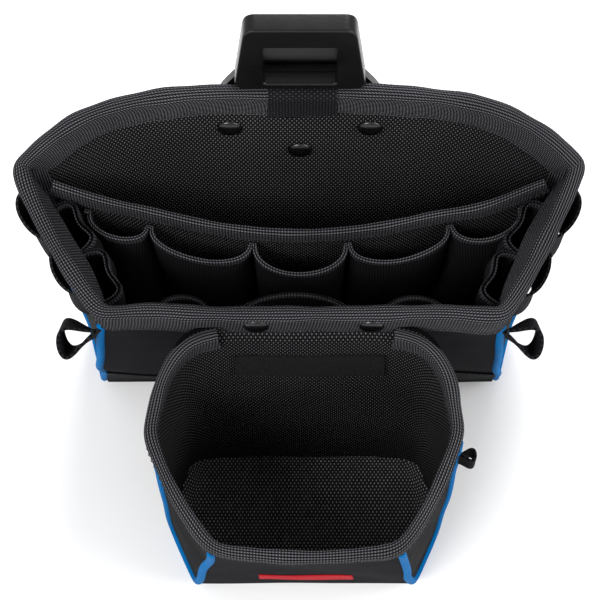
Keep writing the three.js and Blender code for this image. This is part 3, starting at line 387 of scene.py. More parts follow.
class Graph:
    """A material's nodes, wired from Python."""

    def __init__(self, name: str) -> None:
        """Starts a material with one Principled shader."""
        self.material = bpy.data.materials.new(name)
        self.material.use_nodes = True
        self.tree = self.material.node_tree
        self.shader = self.tree.nodes["Principled BSDF"]
        coords = self.node("ShaderNodeTexCoord")
        self.object = coords.outputs["Object"]
        split = self.node("ShaderNodeSeparateXYZ")
        self.link(coords.outputs["UV"], split.inputs[0])
        self.u, self.v = split.outputs[0], split.outputs[1]

    def node(self, kind: str, **settings: object) -> bpy.types.Node:
        """A new node with its settings."""
        made = self.tree.nodes.new(kind)
        for key, value in settings.items():
            setattr(made, key, value)
        return made

    def link(self, source: bpy.types.NodeSocket, target: bpy.types.NodeSocket) -> None:
        """Wires an output to an input."""
        self.tree.links.new(source, target)

    def math(self, kind: str, *values: object) -> bpy.types.NodeSocket:
        """A Math node on sockets and numbers."""
        made = self.node("ShaderNodeMath", operation=kind)
        for value, target in zip(values, made.inputs):
            if isinstance(value, bpy.types.NodeSocket):
                self.link(value, target)
            else:
                target.default_value = value
        return made.outputs[0]

    def wave(self, position: object, pitch: float) -> bpy.types.NodeSocket:
        """A ridge from 0 to 1 for each pitch along a position."""
        turned = self.math("MULTIPLY", position, 2 * math.pi / pitch)
        return self.math("MULTIPLY_ADD", self.math("SINE", turned), 0.5, 0.5)

    def cell(self, position: object, pitch: float) -> tuple[object, object]:
        """The number of the cell a position is in, and a bump from 0 to 1 over the cell."""
        at = self.math("DIVIDE", position, pitch)
        inside = self.math("SUBTRACT", self.math("FRACT", at), 0.5)
        bump = self.math("COSINE", self.math("MULTIPLY", inside, math.pi))
        return self.math("FLOOR", at), bump

    def noise(self, scale: float, detail: float = 3.0) -> bpy.types.NodeSocket:
        """Soft noise on the piece's own coordinates."""
        made = self.node("ShaderNodeTexNoise")
        made.inputs["Scale"].default_value = scale
        made.inputs["Detail"].default_value = detail
        self.link(self.object, made.inputs["Vector"])
        return made.outputs["Fac"]

    def ramp(self, value: object, low: Sequence[float], high: Sequence[float]) -> object:
        """A colour between two, by a value from 0 to 1."""
        made = self.node("ShaderNodeMix", data_type="RGBA")
        self.link(value, made.inputs["Factor"])
        made.inputs["A"].default_value = (*low, 1.0)
        made.inputs["B"].default_value = (*high, 1.0)
        return made.outputs["Result"]

    def bump(self, height: object, distance: float, strength: float,
             below: object = None) -> bpy.types.NodeSocket:
        """A Bump node; distance in millimetres."""
        made = self.node("ShaderNodeBump")
        made.inputs["Distance"].default_value = distance * MM
        made.inputs["Strength"].default_value = strength
        self.link(height, made.inputs["Height"])
        if below is not None:
            self.link(below, made.inputs["Normal"])
        return made.outputs["Normal"]


@dataclass(frozen=True)
class Finish:
    """One finish of the pouch."""

    name: str
    slot: str
    pattern: Pattern
    dark: tuple[float, float, float]
    # colour of the raised structure: on the cloths and tapes a painted highlight on the thread
    # tops, on the other finishes a random lighter tone
    light: tuple[float, float, float]
    roughness: float
    pitch: tuple[float, float] = (1.14, 2.0)
    relief: float = 0.5
    sheen: float = 0.0
    metallic: float = 0.0
    coat: float = 0.0
    shine: float = 0.5

    def structure(self, g: Graph) -> object:
        """The finish's fine structure as a height from 0 to 1."""
        if self.pattern in (Pattern.BASKET, Pattern.WEBBING):
            column, over = g.cell(g.u, self.pitch[0])
            row, under = g.cell(g.v, self.pitch[1])
            odd = g.math("FLOORED_MODULO", g.math("ADD", column, row), 2.0)
            dome = g.math("MULTIPLY", over, under)
            if self.pattern is Pattern.WEBBING:
                return g.math("MULTIPLY_ADD", dome, 0.6, g.math("MULTIPLY", odd, 0.4))
            return g.math("MULTIPLY", dome, g.math("MULTIPLY_ADD", odd, 0.72, 0.28))
        if self.pattern is Pattern.TWILL:
            slant = g.wave(g.math("ADD", g.u, g.v), self.pitch[0])
            other = g.wave(g.math("SUBTRACT", g.u, g.v), self.pitch[1])
            return g.math("MULTIPLY_ADD", slant, 0.7, g.math("MULTIPLY", other, 0.3))
        if self.pattern in (Pattern.GROSGRAIN, Pattern.RIBBED):
            ribs, yarns = (g.v, g.u) if self.pattern is Pattern.GROSGRAIN else (g.u, g.v)
            fine = g.math("MULTIPLY_ADD", g.wave(yarns, self.pitch[1]), 0.7, 0.3)
            return g.math("MULTIPLY", g.wave(ribs, self.pitch[0]), fine)
        if self.pattern is Pattern.COATED:
            return g.math("MULTIPLY_ADD", g.wave(g.math("ADD", g.u, g.v), 1.1), 0.25,
                          g.math("MULTIPLY", g.noise(160.0, 4.0), 0.75))
        if self.pattern is Pattern.PILE:
            return g.noise(1500.0, 5.0)
        return g.noise(900.0 if self.pattern is Pattern.MOULDED else 260.0, 3.0)

    def make(self) -> bpy.types.Material:
        """Builds the material.

        Returns:
            The Blender material.
        """
        g = Graph(self.name)
        height = self.structure(g)
        broad = g.noise(14.0, 3.0)
        # painted highlight: on the cloths and tapes the raised tops of the threads and ribs take
        # the light colour in place of the yarns' own shine; the broad noise varies the tone at
        # random
        highlight_and_tone = g.math("MULTIPLY", g.math("POWER", height, 1.7),
                      g.math("MULTIPLY_ADD", broad, 1.1, 0.45))
        g.link(g.ramp(g.math("MINIMUM", highlight_and_tone, 1.0), self.dark, self.light),
               g.shader.inputs["Base Color"])
        rough = g.math("MULTIPLY_ADD", g.noise(45.0), 0.22, self.roughness - 0.11)
        g.link(g.math("MINIMUM", rough, 1.0), g.shader.inputs["Roughness"])
        hard = self.pattern is Pattern.MOULDED or self.metallic > 0
        creases = g.bump(g.noise(38.0, 2.0), 0.05 if hard else 1.6, 0.35)
        g.link(g.bump(height, self.relief, 0.9, creases), g.shader.inputs["Normal"])
        g.shader.inputs["Metallic"].default_value = self.metallic
        g.shader.inputs["Sheen Weight"].default_value = self.sheen
        g.shader.inputs["Sheen Roughness"].default_value = 0.4
        g.shader.inputs["Coat Weight"].default_value = self.coat
        g.shader.inputs["Coat Roughness"].default_value = 0.25
        g.shader.inputs["Specular IOR Level"].default_value = self.shine
        return g.material


class Kit(Enum):
    """Every finish that the pouch uses."""

    # the light colours of the cloth and tape finishes are painted highlights on their thread tops
    WEAVE = Finish("coarse_weave", "basket_weave", Pattern.BASKET, (0.0016, 0.0016, 0.0019),
                   (0.15, 0.15, 0.155), 0.75, relief=0.7, shine=0.02)
    OUTER = Finish("outer_twill", "basket_weave", Pattern.TWILL, (0.0016, 0.0016, 0.002),
                   (0.03, 0.03, 0.034), 0.8, pitch=(1.5, 1.5), relief=0.3, shine=0.02)
    # painted light: the coarse weave again with far lighter thread tops, so the front pouch's
    # floor looks lit where it lies in shade
    FLOOR = Finish("coarse_weave_floor_lit", "basket_weave", Pattern.BASKET, (0.003, 0.003, 0.0035),
                   (0.5, 0.5, 0.51), 0.75, relief=0.7, shine=0.02)
    COATED = Finish("coated_cloth", "coated_fabric", Pattern.COATED, (0.0015, 0.0015, 0.0019),
                    (0.007, 0.0073, 0.0085), 0.65, relief=0.15, shine=0.02)
    TAPE = Finish("binding_tape", "binding_tape", Pattern.GROSGRAIN, (0.003, 0.003, 0.0038),
                  (0.17, 0.17, 0.185), 0.75, pitch=(1.3, 1.6), relief=0.5, shine=0.03)
    STRAP = Finish("loop_webbing", "webbing", Pattern.WEBBING, (0.0015, 0.0015, 0.0018),
                   (0.035, 0.035, 0.039), 0.75, pitch=(1.5, 1.1), relief=0.3, shine=0.03)
    ELASTIC = Finish("ribbed_elastic", "webbing", Pattern.RIBBED, (0.002, 0.002, 0.0022),
                     (0.03, 0.03, 0.034), 0.8, pitch=(2.2, 1.4), relief=0.6, shine=0.02)
    THREAD = Finish("seam_thread", "binding_tape", Pattern.CORD, (0.012, 0.012, 0.014),
                    (0.06, 0.06, 0.066), 0.7, relief=0.1, shine=0.03)
    PIPING = Finish("blue_piping", "piping", Pattern.CORD, (0.0004, 0.1, 0.29),
                    (0.0006, 0.14, 0.39), 0.6, relief=0.08, shine=0.02)
    MOULDED = Finish("moulded_black", "moulded_plastic", Pattern.MOULDED,
                     (0.0018, 0.0018, 0.0021), (0.0045, 0.0046, 0.0052), 0.3, relief=0.05,
                     shine=0.32)
    RIVET = Finish("lacquered_steel", "dark_metal", Pattern.METAL, (0.003, 0.003, 0.0035),
                   (0.006, 0.006, 0.007), 0.22, relief=0.02, metallic=0.5, coat=0.5)
    SPRING = Finish("spring_wire", "spring_steel", Pattern.METAL, (0.35, 0.36, 0.38),
                    (0.5, 0.5, 0.52), 0.35, relief=0.02, metallic=1.0)
    PILE = Finish("loop_pile", "hook_loop", Pattern.PILE, (0.0008, 0.0008, 0.0008),
                  (0.03, 0.03, 0.032), 0.95, relief=1.4, shine=0.02, sheen=0.02)
    LABEL = Finish("woven_label", "label", Pattern.WEBBING, (0.3, 0.006, 0.012),
                   (0.62, 0.02, 0.03), 0.7, pitch=(0.9, 0.7), relief=0.15, shine=0.05)


MATERIALS: dict[Kit, bpy.types.Material] = {}


def finish_of(kit: Kit) -> bpy.types.Material:
    if kit not in MATERIALS:
        MATERIALS[kit] = kit.value.make()
    return MATERIALS[kit]


def dress(piece: bpy.types.Object, kit: Kit, body: str, *nodes: str) -> bpy.types.Object:
    """Gives a piece its finish, its body and the CAD nodes that it stands for.

    Args:
        piece: the piece.
        kit: its finish.
        body: the CAD body that it rides on, or an empty string if it bends.
        nodes: the CAD nodes that it replaces.

    Returns:
        The piece.
    """
    piece.data.materials.clear()
    piece.data.materials.append(finish_of(kit))
    if body:
        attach(piece, body)
    if nodes:
        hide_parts(*nodes)
    log.info("%s: %s, %d faces", piece.name, kit.value.name, len(piece.data.polygons))
    return piece


# ---------------------------------------------------------------- sewn edges


@dataclass
class Edge:
    """A wall's edge: its line, the wall's outward directions, and half its thickness."""

    line: Array
    out: Array
    half: Array

    @classmethod
    def of(cls, surface: Surface, u0: float, u1: float, half: float) -> "Edge":
        """The top edge of a surface, between two values of u."""
        u = np.linspace(u0, u1, EDGE_STEPS)
        at = np.ones_like(u)
        return cls(surface(u, at), normals(surface, u, at), np.full((EDGE_STEPS, 1), half))

    def joined(self, *others: "Edge") -> "Edge":
        """This edge and the next ones as one line."""
        every = (self, *others)
        return Edge(*(np.concatenate([getattr(e, key) for e in every])
                      for key in ("line", "out", "half")))

    def rounded(self, pitch: float, spread: int, closed: bool = False) -> "Edge":
        """The edge at an even pitch, with its corners rounded."""
        line, out, half = even(self.line, pitch, self.out, self.half)
        return Edge(soften(line, spread, closed), unit(soften(out, spread, closed)),
                    soften(half, spread, closed))

    def directions(self) -> tuple[Array, Array]:
        """Outward and upward directions, square to the line."""
        along = tangents(self.line)
        out = unit(self.out - along * np.sum(self.out * along, axis=1, keepdims=True))
        return out, unit(np.cross(out, along))


def bind(name: str, edge: Edge, leg: float, body: str, nodes: Sequence[str],
         kit: Kit = Kit.TAPE, stitched: bool = True, thick: float = 0.9) -> None:
    """Tape folded over an edge, with a row of stitches on each leg.

    Args:
        name: the piece's name.
        edge: the edge that it binds.
        leg: how far each leg reaches down.
        body: the CAD body that it rides on.
        nodes: the CAD nodes that it replaces.
        kit: the tape's finish.
        stitched: whether stitches show.
        thick: the tape's thickness.
    """
    line = settle(edge.line)
    out, up = edge.directions()
    turn = np.linspace(math.pi, 0, 13)
    down = np.linspace(-leg, -0.4, 9)
    grip = lerp(0.8, 1.0, (down + leg) / leg)
    run = lengths(edge.line)[:, None]
    half = edge.half * (1 + 0.07 * np.sin(run / 8.3) + 0.05 * np.sin(run / 3.9 + 1))
    drop = np.repeat(down[None], len(run), axis=0)
    drop[:, :1] += 0.5 * np.sin(run / 11 + 2)
    across = half * np.concatenate([-grip, np.cos(turn), grip[::-1]])
    rise = np.concatenate([drop, half * 0.85 * np.sin(turn), drop[:, ::-1]], axis=1)
    section = np.stack([across, rise], axis=2)
    dress(lay(name, carry(line, out, up, section), thick), kit, body, *nodes)
    if not stitched:
        return
    for side, word in ((1, "outer"), (-1, "inner")):
        seam = line + out * side * (half * 0.86 + thick / 2) - up * (leg - 2.6)
        dress(thread(f"{name}_stitches_{word}", seam, out * side), Kit.THREAD, body)


def loop_rows(wall: Surface, loops: Sequence[Loop], foot: float,
              top: float, side: float, lift: float, lean: float = 0.0,
              fold: float = 0.0) -> Array:
    """A tape on a wall that bows away from it in round loops.

    Args:
        wall: the wall.
        loops: the loops, as shares of the wall's width and rises.
        foot: the tape's lower edge as a share of the wall's height.
        top: its upper edge.
        side: 1 outside the wall and -1 inside.
        lift: the distance from the wall's middle where the tape is sewn down.
        lean: how much more the upper edge stands out than the lower.
        fold: how deep a loop's slack folds are.

    Returns:
        Rows of points.
    """
    u, out = [], []
    turn = np.linspace(0, math.pi, 29)
    for start, end, rise in loops:
        u.append(lerp(start, end, (1 - np.cos(turn)) / 2))
        out.append(lift + rise * np.sin(turn) ** 0.85 + fold * np.sin(3 * turn) * np.sin(turn))
    u = np.concatenate([[loops[0][0] - LOOP_MARGIN], *u, [loops[-1][1] + LOOP_MARGIN]])
    out = np.concatenate([[lift], *out, [lift]])
    v = np.linspace(foot, top, 15)
    uu, vv = np.meshgrid(u, v)
    share = (vv - foot) / (top - foot)
    reach = lift + (out[None] - lift) * (1 + lean * (share - 0.5))
    return wall(uu, vv) + normals(wall, uu, vv) * (side * reach)[..., None]


def sew_loops(name: str, rows: Array, body: str, nodes: Sequence[str], out: float,
              edge_leg: float = 3.0, edge_half: float = 1.1) -> None:
    """A looped tape with a narrow binding along its upper edge."""
    dress(lay(name, settle(rows), 1.4), Kit.STRAP, body, *nodes)
    top = rows[-1]
    up = unit(rows[-1] - rows[-3])
    normal = unit(np.cross(tangents(top), up)) * out
    edge = Edge(top, normal, np.full((len(top), 1), edge_half))
    bind(f"{name}_edge", edge, edge_leg, body, (), stitched=False, thick=0.5)


# ---------------------------------------------------------------- both pouches


@dataclass
class SewnPouch:
    """What both pouches share: front wall, gussets, rim and piping. Sizes in millimetres."""

    body: str = ""
    shift: float = 0.0
    front_height: float = 0.0
    front_low: float = 0.0
    front_bow: float = 0.0
    rear_height: float = 0.0
    rear_low: float = 0.0
    toe_radius: float = 0.0
    heel_radius: float = 0.0
    foot_gap: float = 0.0
    foot_share: float = 0.16
    base_thick: float = 2.6
    wall: float = 2.4
    gusset: float = 2.0
    seam: float = 0.6
    piping: float = 2.4
    piping_down: tuple[float, float, int] = (1.0, 0.0, 40)
    piping_up: tuple[float, float, int] = (0.0, 1.0, 40)
    tuck: float = 0.0
    lap: float = 0.0
    leg: float = 0.0
    rim_half: float = 0.0

    def back(self, u: Array, v: Array) -> Array:
        """The back wall."""
        raise NotImplementedError

    def front_seam(self, side: float, k: Array) -> Array:
        """The line of a front corner seam, by the share k of its height."""
        raise NotImplementedError

    def rear_seam(self, side: float, k: Array) -> Array:
        """The line of a gusset's rear seam, by the share k of its height."""
        raise NotImplementedError

    def gusset_bow(self, share: Array, v: Array) -> Array:
        """How far a gusset stands out, by its shares across and up."""
        raise NotImplementedError

    def front(self, u: Array, v: Array) -> Array:
        """The front wall with its rounded foot."""
        side = 2 * u - 1
        k = np.clip((v - self.foot_share) / (1 - self.foot_share), 0, 1)
        angle = math.pi / 2 * np.clip(1 - v / self.foot_share, 0, 1)
        corner = self.front_seam(1, k)
        bow = self.front_bow * k * np.cos(math.pi / 2 * side)
        return points(self.shift + side * (corner[..., 0] - self.shift - self.seam),
                      corner[..., 1] - bow + self.toe_radius * (1 - np.cos(angle)),
                      corner[..., 2] - self.toe_radius * np.sin(angle))

    def lining(self) -> Surface:
        """The front wall's inner face, clear of its seams."""
        return part(offset(self.front, -self.wall / 2 - 0.15), 0.005, 0.995, 0.12, 0.99)

    def foot_round(self, from_rear: Array, from_front: Array) -> Array:
        """How high a gusset's foot is above the seam's lowest line."""
        rear = from_rear < from_front
        inset = np.where(rear, from_rear, from_front)
        radius = np.where(rear, self.heel_radius, self.toe_radius)
        inner = radius - self.seam
        inward = np.maximum(0, radius - inset)
        return radius - np.sqrt(np.maximum(0, inner * inner - inward * inward))

    def side_wall(self, side: float) -> Surface:
        """A U-bottomed gusset; u rear to front on the left, front to rear on the right."""

        def surface(u: Array, v: Array) -> Array:
            """The gusset's points."""
            along = u if side < 0 else 1 - u
            zero = np.zeros_like(along)
            foot_line = self.front_seam(side, zero) - self.rear_seam(side, zero)
            foot_length = np.linalg.norm(foot_line[..., :2], axis=-1)
            inset = lerp(self.seam, foot_length - self.seam, along)
            foot = self.foot_round(inset, foot_length - inset)
            foot = self.base_thick / 2 + self.foot_gap + foot
            height = lerp(foot, lerp(self.rear_height, self.front_height, along), v)
            rear = self.rear_seam(side, share_of(height, self.rear_low, self.rear_height))
            front = self.front_seam(side, share_of(height, self.front_low, self.front_height))
            across = (front - rear) * LEVEL
            length = np.linalg.norm(across, axis=-1)
            share = lerp(-self.lap, length - self.seam, along) / length
            out = unit(np.cross(across, np.array([0.0, 0.0, -side])))
            bow = self.gusset_bow(np.clip(share, 0, 1), v)
            made = rear + across * share[..., None] + out * bow[..., None]
            made[..., 2] = height
            return made

        return surface

    def piping_path(self, side: float) -> Array:
        """The seam line down the front, under the gusset's foot and up the rear."""
        down = self.front_seam(side, np.linspace(*self.piping_down))
        up = self.rear_seam(side, np.linspace(*self.piping_up))
        zero = np.zeros(1)
        front, rear = self.front_seam(side, zero)[0], self.rear_seam(side, zero)[0]
        ground = unit((rear - front) * LEVEL)
        corners = []
        for line, radius, sign, turns in (
                (front, self.toe_radius, 1, CORNER_TURNS),
                (rear, self.heel_radius, -1, CORNER_TURNS[::-1])):
            centre = radius + self.base_thick / 2
            for turn in turns:
                angle = math.pi / 2 * turn
                p = line + ground * sign * radius * (1 - math.cos(angle))
                p[2] = centre - (centre - self.piping - 0.2) * math.sin(angle)
                corners.append(p)
        path = np.concatenate([down, corners, up])
        path[len(down):, 0] += side * self.tuck
        return soften(even(path, 1.5)[0], 3)

    def rim(self, first: tuple[float, float], last: tuple[float, float]) -> Edge:
        """The mouth's edge: the back's first stretch, the three walls, its last stretch."""
        walls = (self.side_wall(-1), self.front, self.side_wall(1))
        return Edge.of(self.back, *first, self.rim_half).joined(
            *(Edge.of(wall, 0.0, 1.0, self.rim_half) for wall in walls),
            Edge.of(self.back, *last, self.rim_half))


# ---------------------------------------------------------------- main pouch


@dataclass
class MainPouch(SewnPouch):
    """The wide pouch: back panel, walls, divider, loops and tabs."""

    body: str = "main_pouch"
    front_height: float = 206.0
    front_low: float = 18.0
    front_bow: float = 0.6
    rear_height: float = 229.0
    toe_radius: float = 18.0
    heel_radius: float = 12.0
    foot_gap: float = 0.8
    piping_down: tuple[float, float, int] = (0.94, 0.03, 40)
    piping_up: tuple[float, float, int] = (0.08, 0.93, 40)
    tuck: float = 0.6
    lap: float = 2.8
    leg: float = 15.0
    rim_half: float = 3.9
    mouth_half: float = 140.0
    mouth_depth: float = 88.0
    front_half: float = 100.0
    base_half: float = 118.0
    base_depth: float = 46.0
    base_back_half: float = 128.0
    base_heel_inset: float = 6.0
    arch_rise: float = 48.0
    arch_power: float = 3.7
    back_thick: float = 5.0
    back_wrap: float = 13.0
    side_bow: float = 3.0
    mouth_flare: float = 12.0
    flare_span: float = 0.15
    sleeve_half: float = 4.6
    edge_tape_half: float = 3.2
    edge_tape_leg: float = 8.0
    divider_half: tuple[float, float] = (110.0, 124.0)  # at the foot and at the top
    divider_foot_depth: float = 20.0
    divider_depth: tuple[float, float] = (37.0, 22.0)  # at the middle and at the ends
    divider_height: tuple[float, float] = (194.0, 220.0)  # at the middle and at the ends
    divider_loops: tuple[Loop, ...] = (
        (0.065, 0.18, 9), (0.19, 0.395, 11.5), (0.405, 0.595, 13.5), (0.605, 0.81, 11.5),
        (0.82, 0.955, 9.5))
    front_loops: tuple[Loop, ...] = ((0.12, 0.28, 13), (0.335, 0.635, 15), (0.7, 0.87, 13))
    inner_loops: tuple[Loop, ...] = ((0.22, 0.53, 8), (0.55, 0.88, 9))
    outer_loops: tuple[Loop, ...] = ((0.05, 0.4, 10), (0.43, 0.79, 11))
    tab_at: float = 0.86  # share of the front seam's height
    tab_turn: float = -0.21  # how far it points forward for each unit outward
    tab_lean: float = 18.0  # degrees
    tab_reach: float = 22.0
    tab_half: float = 11.5
    tab_slack: float = 8.5

    def back(self, u: Array, v: Array) -> Array:
        """The back panel's middle; u from the right edge to the left."""
        side = 1 - 2 * u
        top = self.rear_height + self.arch_rise * (1 - np.abs(side) ** self.arch_power)
        wrap = self.back_wrap * np.abs(side) ** 4
        return points(side * lerp(self.base_back_half, self.mouth_half, v),
                      -self.back_thick / 2 - wrap * smooth(v), lerp(3.0, top, v))

    def front_seam(self, side: float, k: Array) -> Array:
        """The line of a front corner seam, by the share k of its height."""
        return points(side * lerp(self.base_half, self.front_half, k),
                      -lerp(self.base_depth, self.mouth_depth, np.sin(math.pi / 2 * k)),
                      lerp(self.toe_radius + self.base_thick / 2, self.front_height, k))

    def rear_seam(self, side: float, k: Array) -> Array:
        """The line where a gusset meets the back panel, by the share k of its height."""
        edge = self.back(np.full_like(k, (1 - side) / 2), k)
        edge[..., 1] -= self.back_thick / 2 + 0.4 + self.piping
        return edge

    def gusset_bow(self, share: Array, v: Array) -> Array:
        """How far a gusset stands out: pulled in at its middle, flared at the mouth."""
        flare = np.maximum(0, (v - 1 + self.flare_span) / self.flare_span) ** 1.6
        middle = np.sin(math.pi * share) ** 0.6
        return middle * (self.side_bow * v - self.mouth_flare * (1 - flare) * smooth(v * 2))

    def base(self, u: Array, v: Array) -> Array:
        """The base, from the front wall's round to its heel against the back panel."""
        side = 2 * u - 1
        heel_face = self.back_thick + 0.4 + self.base_thick / 2
        flat = self.base_depth - self.toe_radius - heel_face - self.heel_radius
        s = v * (flat + math.pi / 2 * self.heel_radius)
        half = lerp(self.base_half, self.base_back_half - self.base_heel_inset, v) - self.seam
        angle = np.clip((s - flat) / self.heel_radius, 0, math.pi / 2)
        y = np.where(s < flat, -(self.base_depth - self.toe_radius) + s,
                     -heel_face - self.heel_radius * (1 - np.sin(angle)))
        return points(side * half, y,
                      self.base_thick / 2 + self.heel_radius * (1 - np.cos(angle)))

    def divider(self, u: Array, v: Array, reach: float = 0.0) -> Array:
        """The divider; reach takes its ends on to the gussets."""
        side = 2 * u - 1
        sag = np.abs(side) ** 1.8
        half = lerp(*self.divider_half, smooth(v)) + reach * np.abs(side) ** 6
        return points(side * half, -lerp(self.divider_foot_depth,
                                         lerp(*self.divider_depth, sag), v),
                      lerp(3.4, lerp(*self.divider_height, sag), v))

    def build_walls(self) -> None:
        """Makes the back panel, the front wall, the gussets and the base."""
        back = dress(panel("back_panel", self.back, 96, 80, self.back_thick, 0.4), Kit.WEAVE,
                     self.body, "back_inner_skin", "back_outer_skin", "back_board")
        dress(panel("front_wall", self.front, 84, 80, self.wall), Kit.OUTER, self.body,
              "front_panel")
        dress(panel("front_lining", self.lining(), 70, 60, 0.3), Kit.WEAVE, self.body)
        dress(panel("base", self.base, 50, 16, self.base_thick), Kit.COATED, self.body,
              "base_panel")
        for side, word in SIDES:
            dress(panel(f"side_wall_{word}", self.side_wall(side), 40, 70, self.gusset),
                  Kit.WEAVE, self.body, f"gusset_{word}")
            dress(tube(f"seam_piping_{word}", self.piping_path(side), self.piping),
                  Kit.PIPING, self.body, f"piping_{word}")

    def build_trim(self) -> None:
        """Makes the apron, the elastic panel, the rim's binding and the sleeve over it."""
        lift = self.wall / 2 + 0.7
        apron = offset(part(self.front, 0.004, 0.996, 0.13, 0.4), lift)
        dress(panel("lower_apron", apron, 60, 24, 0.9), Kit.COATED, self.body, "front_apron")
        u = np.linspace(0.02, 0.98, 120)
        at = np.full_like(u, 0.385)
        seam = offset(self.front, lift + 0.5)(u, at)
        dress(thread("apron_stitches", settle(seam), normals(self.front, u, at)), Kit.THREAD,
              self.body)
        ribbed = offset(part(self.front, 0.19, 0.81, 0.43, 0.8), lift)
        dress(panel("elastic_front", ribbed, 60, 24, 1.2), Kit.ELASTIC, self.body,
              "front_elastic_panel")
        rim = self.rim((0.0, 1.0), (0.0, 0.002)).rounded(1.6, 2)
        bind("rim_binding", rim, self.leg, self.body,
             ("binding_back", "binding_left", "binding_front", "binding_right"))
        sleeve = Edge.of(self.back, 0.437, 0.563, self.sleeve_half)
        bind("rim_sleeve", sleeve, self.leg + 1.5, self.body, ("rim_patch",), Kit.STRAP, False)
        for side, word in SIDES:
            k = np.linspace(0.975, 0.0, EDGE_STEPS)
            at = np.full_like(k, (1 - side) / 2 + side * 0.009)
            half = np.full((EDGE_STEPS, 1), self.edge_tape_half)
            edge = Edge(self.back(at, k), normals(self.back, at, k) * -side, half)
            bind(f"back_edge_{word}", edge, self.edge_tape_leg, self.body, (), stitched=False)

    def build_inside(self) -> None:
        """Makes the divider with its binding and every row of loops."""
        wide: Surface = lambda u, v: self.divider(u, v, 1.5)
        divider = dress(panel("divider_wall", wide, 90, 50, 1.8), Kit.WEAVE, self.body,
                        "divider")
        edge = Edge.of(wide, 0.0, 1.0, 1.9).rounded(1.6, 2)
        bind("divider_binding", edge, 9.0, self.body, ("binding_divider",))
        rows = loop_rows(self.divider, self.divider_loops, 0.5, 0.93, 1, 2.6, 0.25)
        sew_loops("divider_loops", rows, self.body, [f"divider_loop_{i}" for i in range(1, 6)], 1)
        rows = loop_rows(self.front, self.front_loops, 0.66, 0.9, -1, 2.6, 0.25)
        sew_loops("front_loops", rows, self.body, [f"front_loop_{i}" for i in range(1, 4)], -1,
                  1.6, 0.85)
        for side, word in SIDES:
            wall = self.side_wall(side)
            inner, outer = (loops if side < 0 else
                            tuple((1 - end, 1 - start, rise) for start, end, rise in loops[::-1])
                            for loops in (self.inner_loops, self.outer_loops))
            sew_loops(f"side_loops_{word}", loop_rows(wall, inner, 0.6, 0.91, -1, 3.4, 0.3, 2.4),
                      self.body, (f"inner_loops_{word}",), -1, 4.0)
            dress(lay(f"outer_loops_{word}",
                      settle(loop_rows(wall, outer, 0.76, 0.95, 1, 2.6)), 1.5), Kit.STRAP,
                  self.body, f"outer_loop_{word}_1", f"outer_loop_{word}_2")

    def build_tabs(self) -> None:
        """Makes the folded webbing tabs in the front seams."""
        for side, word in SIDES:
            root = self.front_seam(side, np.array([self.tab_at]))[0]
            out = unit(np.array([side, self.tab_turn, 0.0]))
            t = np.linspace(0, 1, 41)
            reach = self.tab_reach * np.sin(math.pi * t) ** 0.75 - 1.5
            spread = self.tab_slack * np.sin(2 * math.pi * t) * np.sin(math.pi * t) ** 0.4
            lean = math.radians(self.tab_lean) + 0.45 * (reach / self.tab_reach)
            wide = points(0 * reach, -np.sin(lean), np.cos(lean))
            across = np.cross(wide, out) * side
            rows = [root + out * reach[:, None] + wide * w + across * spread[:, None]
                    for w in np.linspace(-self.tab_half, self.tab_half, 13)]
            dress(lay(f"tab_webbing_{word}", np.array(rows), 1.5), Kit.STRAP, f"tab_{word}",
                  f"tab_loop_{word}")

    def build(self) -> None:
        """Makes the whole main pouch."""
        self.build_walls()
        self.build_trim()
        self.build_inside()
        self.build_tabs()


# ---------------------------------------------------------------- front pouch


